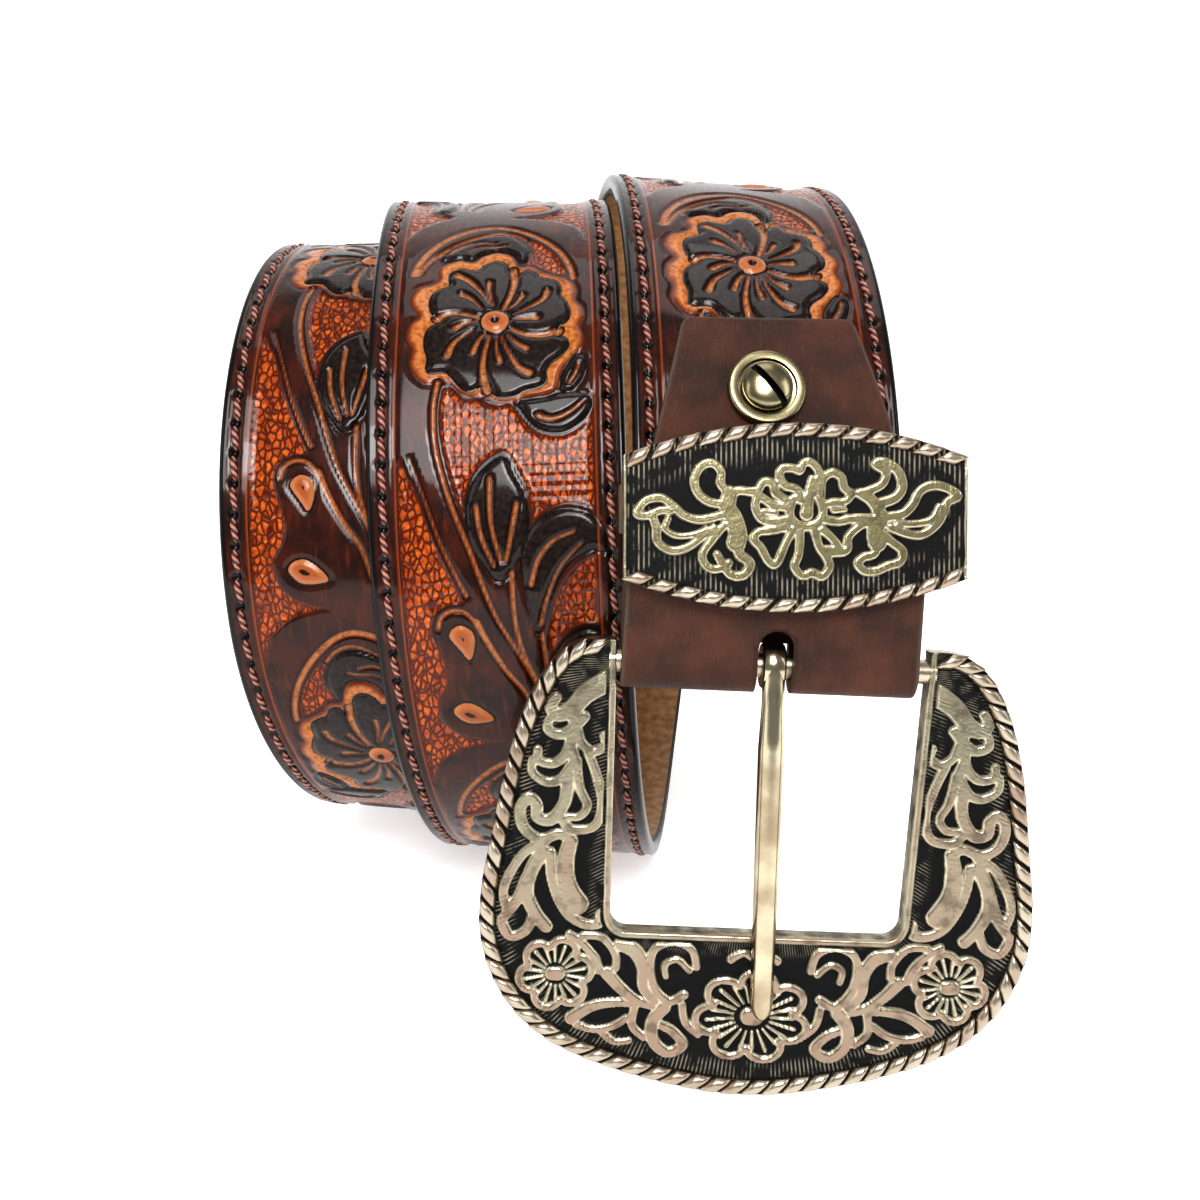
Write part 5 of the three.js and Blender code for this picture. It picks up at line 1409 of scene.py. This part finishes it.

# %% [markdown]
# The buckle was cast, blackened and rubbed back. Black stays in the sunk ground, which also has
# fine cut lines at a right angle to the outline, and the polished relief is a pale champagne
# metal, flecked with dark where the wheel missed it, with a painted highlight along its rims. The
# number that raised the relief also says where the black ends. The keeper has the same finish in
# a slightly yellower metal, and the tongue and the screw are plain.


# %% Metals
def cast_finish(name, bright, warm, hatch_pitch):
    made = Finish(name)
    place = made.spot()
    patch = made.noise(place, 60.0, 4)
    smear = made.noise(place, 420.0, 4)
    drop = made.node("ShaderNodeSeparateXYZ", "Y", Vector=made.spot("plane"))
    low_down = made.plus(made.times(drop, -0.09), made.math("SUBTRACT", patch, 0.5))
    shine = made.mix(made.step(low_down, 0.05, 0.55), bright, warm)
    arc = made.times(made.value("arc"), 2 * math.pi / hatch_pitch)
    lines = made.step(made.math("SINE", arc), 0.1, 0.9)
    lines = made.times(made.times(lines, made.value("hatch")), made.step(smear, 0.4, 0.6))
    ground = made.mix(lines, "#050505", "#8f8878")
    level = made.plus(made.value("metal"), made.times(made.math("SUBTRACT", smear, 0.5), 0.25))
    top = made.step(level, -0.1, 0.08)
    shine = made.mix(made.times(made.step(smear, 0.5, 0.68), 0.5), shine, "#4f463b")
    # A painted highlight: a paler band along the rims of the relief.
    shine = made.mix(made.step(level, 0.32, 0.1), shine, "#c4bca5")
    rough_ground = made.plus(made.times(smear, 0.16), 0.52)
    made.set(
        Base_Color=made.mix(top, ground, shine),
        Metallic=made.math("MAXIMUM", top, made.times(lines, 0.8)),
        Roughness=made.plus(made.times(top, -0.3), rough_ground),
        Specular_IOR_Level=0.2,
    )
    pits = made.noise(place, 2200.0, 3)
    made.bump(made.plus(made.times(lines, 0.8), made.times(pits, 0.6)), 0.6, 0.0001)
    return made


frame_metal = cast_finish("cast_metal_frame", "#a29b86", "#9d8777", 0.66)
keeper_metal = cast_finish("cast_metal_keeper", "#a9a07d", "#9a8e6c", 0.7)


def plain_metal(name, light, dark, roughness):
    made = Finish(name)
    patch = made.noise(made.spot(), 130.0, 5)
    made.set(Base_Color=made.mix(made.step(patch, 0.35, 0.7), light, dark), Metallic=1.0)
    made.set(Roughness=made.plus(made.times(patch, 0.18), roughness))
    made.bump(made.noise(made.spot(), 500.0, 3), 0.08, 0.0002)
    return made


rope_metal = plain_metal("cast_metal_rope", "#bcb2a0", "#9f8b79", 0.22)
tongue_metal = plain_metal("polished_prong", "#c9c0a6", "#a2927a", 0.1)
screw_metal = plain_metal("antique_screw", "#a39a7c", "#6f654c", 0.16)
print("metal finishes:", frame_metal.material.name, keeper_metal.material.name)

# %% [markdown]
# A rope border and a row of stitches are one small shape set out again and again. A node tree
# does this: it takes guide points that carry two directions, puts the piece on each, turns it to
# them, and varies the size a little with a fixed seed. Real instances would not survive export,
# so the tree ends with real geometry and its finish, and the result is kept as a plain mesh.


# %% Node tree for repeated pieces
def repeat_tree():
    """A node tree that puts a piece on each guide point, turned to the point's two directions."""
    tree = bpy.data.node_groups.new("repeat_on_guide", "GeometryNodeTree")
    for name, kind in (("Guide", "Geometry"), ("Piece", "Object"), ("Smallest", "Float"),
                       ("Seed", "Int"), ("Finish", "Material")):
        tree.interface.new_socket(name, in_out="INPUT", socket_type="NodeSocket" + kind)
    tree.interface.new_socket("Guide", in_out="OUTPUT", socket_type="NodeSocketGeometry")
    add, link = tree.nodes.new, tree.links.new
    given, result = add("NodeGroupInput"), add("NodeGroupOutput")
    piece, copies = add("GeometryNodeObjectInfo"), add("GeometryNodeInstanceOnPoints")
    turned, size = add("FunctionNodeAxesToRotation"), add("FunctionNodeRandomValue")
    real, painted = add("GeometryNodeRealizeInstances"), add("GeometryNodeSetMaterial")
    turned.primary_axis, turned.secondary_axis, size.data_type = "Z", "X", "FLOAT"
    for socket, name in (("Primary Axis", "out"), ("Secondary Axis", "along")):
        way = add("GeometryNodeInputNamedAttribute")
        way.data_type = "FLOAT_VECTOR"
        way.inputs["Name"].default_value = name
        link(way.outputs["Attribute"], turned.inputs[socket])
    open_socket = {s.name: s for s in size.inputs if s.enabled}
    open_socket["Max"].default_value = 1.0
    link(given.outputs["Smallest"], open_socket["Min"])
    link(given.outputs["Seed"], open_socket["Seed"])
    link(next(s for s in size.outputs if s.enabled), copies.inputs["Scale"])
    link(given.outputs["Piece"], piece.inputs["Object"])
    link(piece.outputs["Geometry"], copies.inputs["Instance"])
    link(given.outputs["Guide"], copies.inputs["Points"])
    link(turned.outputs["Rotation"], copies.inputs["Rotation"])
    link(copies.outputs["Instances"], real.inputs["Geometry"])
    link(real.outputs["Geometry"], painted.inputs["Geometry"])
    link(given.outputs["Finish"], painted.inputs["Material"])
    link(painted.outputs["Geometry"], result.inputs["Guide"])
    return tree


REPEAT_TREE = repeat_tree()


def repeat_piece(name, piece, spots, along, out, smallest, seed, finish):
    """Copies of a piece at spots in mm, its X along and its Z out, as one plain mesh."""
    guide = bpy.data.objects.new(name + "_guide", bpy.data.meshes.new(name + "_guide"))
    bpy.context.scene.collection.objects.link(guide)
    guide.data.vertices.add(len(spots))
    guide.data.vertices.foreach_set("co", (np.asarray(spots) * MM).astype(np.float32).ravel())
    write_value(guide, "along", along)
    write_value(guide, "out", out)
    repeat = guide.modifiers.new("repeat", "NODES")
    repeat.node_group = REPEAT_TREE
    key = {s.name: s.identifier for s in REPEAT_TREE.interface.items_tree if s.in_out == "INPUT"}
    repeat[key["Piece"]], repeat[key["Smallest"]], repeat[key["Seed"]] = piece, smallest, seed
    repeat[key["Finish"]] = finish.material
    bpy.context.view_layer.update()
    result = plain_copy(guide, name)
    bpy.data.objects.remove(piece)
    print(name, "pieces:", len(spots), "faces:", len(result.data.polygons))
    return result


# %% [markdown]
# A strand of a rope border is a low, rounded pillow with a flat foot. It is skewed along the
# border, so neighbours read as twisted strands, and the sign of the skew gives the slant of the
# casting on the photograph.


# %% Rope strand
def pillow(name, length, width, high, skew, steps=(6, 4)):
    """A rounded slanted pillow with a flat foot, X along the border and Z out."""
    shares = [np.linspace(-1, 1, count) for count in steps]
    grid_x, grid_y = np.meshgrid(*shares, indexing="ij")
    edge_x, edge_y = np.sin(grid_x * 1.3) / math.sin(1.3), np.sin(grid_y * 1.2) / math.sin(1.2)
    rise = np.sqrt(np.clip(1 - edge_x**8 * 0.85, 0, 1)) * np.sqrt(np.clip(1 - edge_y**6 * 0.7, 0, 1))
    x = edge_x * length / 2 + skew * edge_y * width / 2
    top = np.stack([x, edge_y * width / 2, rise * high], -1)
    order = [(i, 0) for i in range(steps[0])] + [(steps[0] - 1, j) for j in range(1, steps[1])]
    order += [(i, steps[1] - 1) for i in range(steps[0] - 2, -1, -1)]
    order += [(0, j) for j in range(steps[1] - 2, 0, -1)]
    number = np.arange(steps[0] * steps[1]).reshape(steps)
    a, b, c, d = number[:-1, :-1], number[1:, :-1], number[1:, 1:], number[:-1, 1:]
    rim = np.array([number[i] for i in order])
    low = len(number.ravel()) + np.arange(len(rim))
    foot_points = top.reshape(-1, 3)[rim] * [1, 1, 0] - [0, 0, 0.5]
    faces = np.stack([a, b, c, d], -1).reshape(-1, 4)
    skirt = np.stack([np.roll(rim, -1), rim, low, np.roll(low, -1)], -1)
    spots = np.vstack([top.reshape(-1, 3), foot_points])
    return make_piece(name, spots, np.vstack([faces, skirt]), [list(low[::-1])])


# %% [markdown]
# The frame's border follows the outer edge at half its own width inside it. It starts a little
# after one horn and ends a little before the other, clear of the fold when the frame swings.

# %% Rope of the frame
ROPE_COUNT, ROPE_WIDTH, ROPE_END = 66, 2.3, 0.008
share = ROPE_END + (1 - 2 * ROPE_END) * (np.arange(ROPE_COUNT) + 0.5) / ROPE_COUNT
spots, _ = along_line(outer_line, share)
after, _ = along_line(outer_line, np.clip(share + 0.002, 0, 1))
before, _ = along_line(outer_line, np.clip(share - 0.002, 0, 1))
way = unit(after - before)
inward = np.stack([way[:, 1], -way[:, 0]], 1)
inward *= np.sign((inward * (np.array([0, -25]) - spots)).sum(1))[:, None]
spots = spots + inward * ROPE_WIDTH / 2
along = on_buckle(way[:, 0], way[:, 1], 0.0) - on_buckle(0.0, 0.0, 0.0)
strand = pillow("rope_strand", outer_length / ROPE_COUNT * 0.86, ROPE_WIDTH, 1.1, 0.95)
rope_frame = repeat_piece(
    "buckle_rope_border", strand, on_buckle(spots[:, 0], spots[:, 1], 0.95), along,
    np.tile(BUCKLE_OUT, (ROPE_COUNT, 1)), 0.95, 3, rope_metal)

# %% [markdown]
# The keeper has a border along its upper edge and one along its lower edge. Both follow the
# plate's bulge, so each strand is turned by the slope of the edge where it sits.

# %% Ropes of the keeper
KEEPER_COUNT, KEEPER_ROPE = 14, 1.95
x = ((np.arange(KEEPER_COUNT) + 0.5) / KEEPER_COUNT * 2 - 1) * (KEEPER_HALF - 0.4)
spots, ways = [], []
for hand in (1, -1):
    edge_y = hand * (keeper_rise(x) - KEEPER_ROPE / 2)
    slope = hand * (keeper_rise(x + 0.1) - keeper_rise(x - 0.1)) / 0.2
    spots.append(on_keeper(x, edge_y, 1.5))
    ways.append(unit(k_side + slope[:, None] * k_along))
strand = pillow("rope_strand", 2 * KEEPER_HALF / KEEPER_COUNT * 0.87, KEEPER_ROPE, 1.0, 0.9)
rope_keeper = repeat_piece(
    "keeper_rope_border", strand, np.vstack(spots), np.vstack(ways),
    np.tile(k_out, (2 * KEEPER_COUNT, 1)), 0.95, 4, rope_metal)

# %% [markdown]
# Both margins are sewn with a thick waxed thread. Each stitch is a short, twisted capsule whose
# ends dive into the leather, so a dark gap stays between one stitch and the next. The number kept
# on its points follows the twist, and by it the finish paints a highlight on each strand and
# shade between the strands.


# %% Stitches
def stitch_piece(name, length, thick, sides=6, rings=7):
    """A short capsule along X whose ends sink, with the twist of the thread kept on its points."""
    turn = np.linspace(0, 2 * np.pi, sides, endpoint=False)
    x = np.sin(np.linspace(-1, 1, rings) * np.pi / 2)[:, None] * length / 2
    bulge = np.sqrt(np.clip(1 - (2 * x / length) ** 4, 0.12, 1)) * thick / 2
    sink = -0.45 * (2 * x / length) ** 4
    y, z = bulge * np.cos(turn - np.pi / 3), bulge * np.sin(turn - np.pi / 3) * 0.85 + sink
    piece = tube_piece(name, np.stack([x + 0 * y, y, z], -1))
    write_value(piece, "ply", (2 * turn + 4.6 * x).ravel())
    return piece


stitch_s = (np.arange(3, int((STRAP_LENGTH - TIP) / STITCH_PITCH)) + 0.5) * STITCH_PITCH
spots, ways, outs_there = [], [], []
for hand in (1, -1):
    offset = np.full(len(stitch_s), hand * STITCH_AT)
    lift = leather_relief(stitch_s, offset)["height"] + cup_lift(stitch_s, offset) + 0.25
    here = on_strap(stitch_s, offset, lift)
    before, after = (on_strap(stitch_s + d, offset, lift) for d in (-0.5, 0.5))
    _, to_side, outward = at(stitch_s)
    spots.append(here)
    ways.append(unit(unit(after - before) - 0.15 * to_side))
    outs_there.append(outward)
stitches = repeat_piece(
    "strap_stitches", stitch_piece("stitch", 3.9, 1.1), np.vstack(spots), np.vstack(ways),
    np.vstack(outs_there), 0.93, 5, thread)

# %% [markdown]
# Now each piece gets its finish and rides on its body, and the CAD solid it stands for is hidden.
# One table holds this, a row for each group of pieces. Round pieces are shaded smooth, and the
# plain turned or folded ones keep the edges that are sharper than 25 degrees.

# %% Dress the bodies
WORN = [
    (strap_parts, tooled, "belt", "tooled_leather", "strap"),
    ([lining], lined, "belt", "lining_leather", "lining"),
    ([chape], plain, "belt", "chape_leather", "chape"),
    ([keeper, keeper_strip], keeper_metal, "belt", "cast_metal", "keeper"),
    ([rope_keeper], None, "belt", "cast_metal", "keeper"),
    ([buckle], frame_metal, "buckle", "cast_metal", "buckle_frame"),
    ([bar], rope_metal, "buckle", "cast_metal", "buckle_frame"),
    ([rope_frame], None, "buckle", "cast_metal", "buckle_frame"),
    ([eye, tongue], tongue_metal, "prong", "cast_metal", "tongue"),
    ([screw], screw_metal, "belt", "screw_metal", "screw"),
    ([washer], screw_metal, "belt", "screw_metal", "screw_washer"),
    ([post], screw_metal, "belt", "screw_metal", "screw_post"),
    ([stitches], None, "belt", "tooled_leather", "strap"),
]
for pieces, finish, body_name, slot_name, node in WORN:
    for piece in pieces:
        if finish:
            piece.data.materials.clear()
            piece.data.materials.append(finish.material)
        piece.data.polygons.foreach_set("use_smooth", np.ones(len(piece.data.polygons), bool))
        if piece in (chape, screw, washer, post, keeper_strip, bar):
            piece.data.set_sharp_from_angle(angle=math.radians(25))
        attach(piece, body_name)
        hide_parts(node)
# The slot's walls are painted near black, a painted shade.
slot_shade_paint = Finish("screw_slot")
slot_shade_paint.set(Base_Color="#0a0908", Roughness=0.7, Specular_IOR_Level=0.1)
screw.data.materials.append(slot_shade_paint.material)
screw.data.polygons.foreach_set("material_index", slot_faces.astype(np.int32))
print("pieces dressed:", sum(len(row[0]) for row in WORN))

# %% [markdown]
# The belt stands on a plain white sweep: a floor that curves up into a back wall, so no edge
# shows behind it. The paper gives a little light of its own, as a backdrop that is lit apart.

# %% Stage
low_corner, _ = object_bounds()
floor_z = low_corner.z / MM - 0.05
curve = np.linspace(0, np.pi / 2, 16)
bend = [(900 + 500 * math.sin(a), 500 - 500 * math.cos(a)) for a in curve]
profile = [(-1500, 0), *bend, (1400, 2500)]
wide = np.array([-2500, 2500])
sheet = np.array([[(x, y, floor_z + z) for x in wide] for y, z in profile])
number = np.arange(len(profile) * 2).reshape(-1, 2)
faces = np.stack([number[:-1, 0], number[:-1, 1], number[1:, 1], number[1:, 0]], -1)
sweep = make_piece("studio_sweep", sheet.reshape(-1, 3), faces)
paper = Finish("white_paper")
paper.set(Base_Color="#f6f6f6", Roughness=0.8, Emission_Color="#ffffff", Emission_Strength=0.55)
sweep.data.materials.append(paper.material)
sweep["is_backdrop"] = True
print("sweep at", round(floor_z, 2), "mm")

# %% [markdown]
# A small key light stands in front and above, and a tall soft light beside it gives the gloss of
# the leather its long shine. Two fills stand at the sides, one light hangs over the top, and a
# pale room lifts the shadows.

# %% Lights
BELT_MIDDLE = (0, 0, 0.06)
# Name, place, size and power
LIGHTS = [
    ("key_light", (0.06, -1.0, 1.0), (0.42, 0.3), 6),
    ("tall_light", (-0.1, -0.95, 1.15), (0.5, 0.95), 15),
    ("left_fill", (-0.95, -0.45, 0.5), (0.35, 0.8), 2),
    ("right_fill", (0.95, -0.4, 0.6), (0.35, 0.8), 2.5),
    ("top_light", (0, 0.25, 1.2), (0.6, 0.6), 3),
]


def soft_light(name, place, target, size, power):
    lamp = bpy.data.lights.new(name, "AREA")
    lamp.shape, lamp.size, lamp.size_y, lamp.energy = "RECTANGLE", size[0], size[1], power
    light = bpy.data.objects.new(name, lamp)
    light.location = Vector(place)
    light.rotation_euler = (Vector(target) - Vector(place)).to_track_quat("-Z", "Y").to_euler()
    bpy.context.scene.collection.objects.link(light)


for name, place, size, power in LIGHTS:
    soft_light(name, place, BELT_MIDDLE, size, power)
room = bpy.data.worlds.new("pale_room")
room.use_nodes = True
room.node_tree.nodes["Background"].inputs["Color"].default_value = (1, 1, 1, 1)
room.node_tree.nodes["Background"].inputs["Strength"].default_value = 0.32
bpy.context.scene.world = room
bpy.context.scene.view_settings.view_transform = "Standard"
bpy.context.scene.view_settings.gamma = 0.84
print("lights:", [name for name, *_ in LIGHTS])

# %% [markdown]
# The camera is where the photograph was taken from. Its place, its direction and its lens were
# found by matching places on the buckle and the rims, and it leans by the same few degrees.

# %% Camera
YAW, PITCH, ROLL = math.radians(1.12), math.radians(20.81), math.radians(2.85)
ahead = Vector((math.sin(YAW) * math.cos(PITCH), math.cos(YAW) * math.cos(PITCH), -math.sin(PITCH)))
right = ahead.cross(Vector((0, 0, 1))).normalized()
up = right.cross(ahead)
CAMERA_PLACE = Vector((-6.41, -218.96, 133.73))
leant_right = right * math.cos(ROLL) + up * math.sin(ROLL)
leant_up = up * math.cos(ROLL) - right * math.sin(ROLL)
camera = bpy.data.objects.new("photo_camera", bpy.data.cameras.new("photo_camera"))
camera.data.sensor_width, camera.data.lens = 36, 36.99
camera.data.clip_start, camera.data.clip_end = 0.01, 10
turned = Matrix((leant_right, leant_up, -ahead)).transposed().to_4x4()
turned.translation = CAMERA_PLACE * MM
camera.matrix_world = turned
bpy.context.scene.collection.objects.link(camera)
bpy.context.scene.camera = camera
print("camera at", [round(v, 1) for v in CAMERA_PLACE], "mm")

# %% Measure and finish
visual_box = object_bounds()
sizes = {"cad_box": cad_box, "visual_box": visual_box}
for name, box in sizes.items():
    print(name, [[round(v / MM, 2) for v in corner] for corner in box])
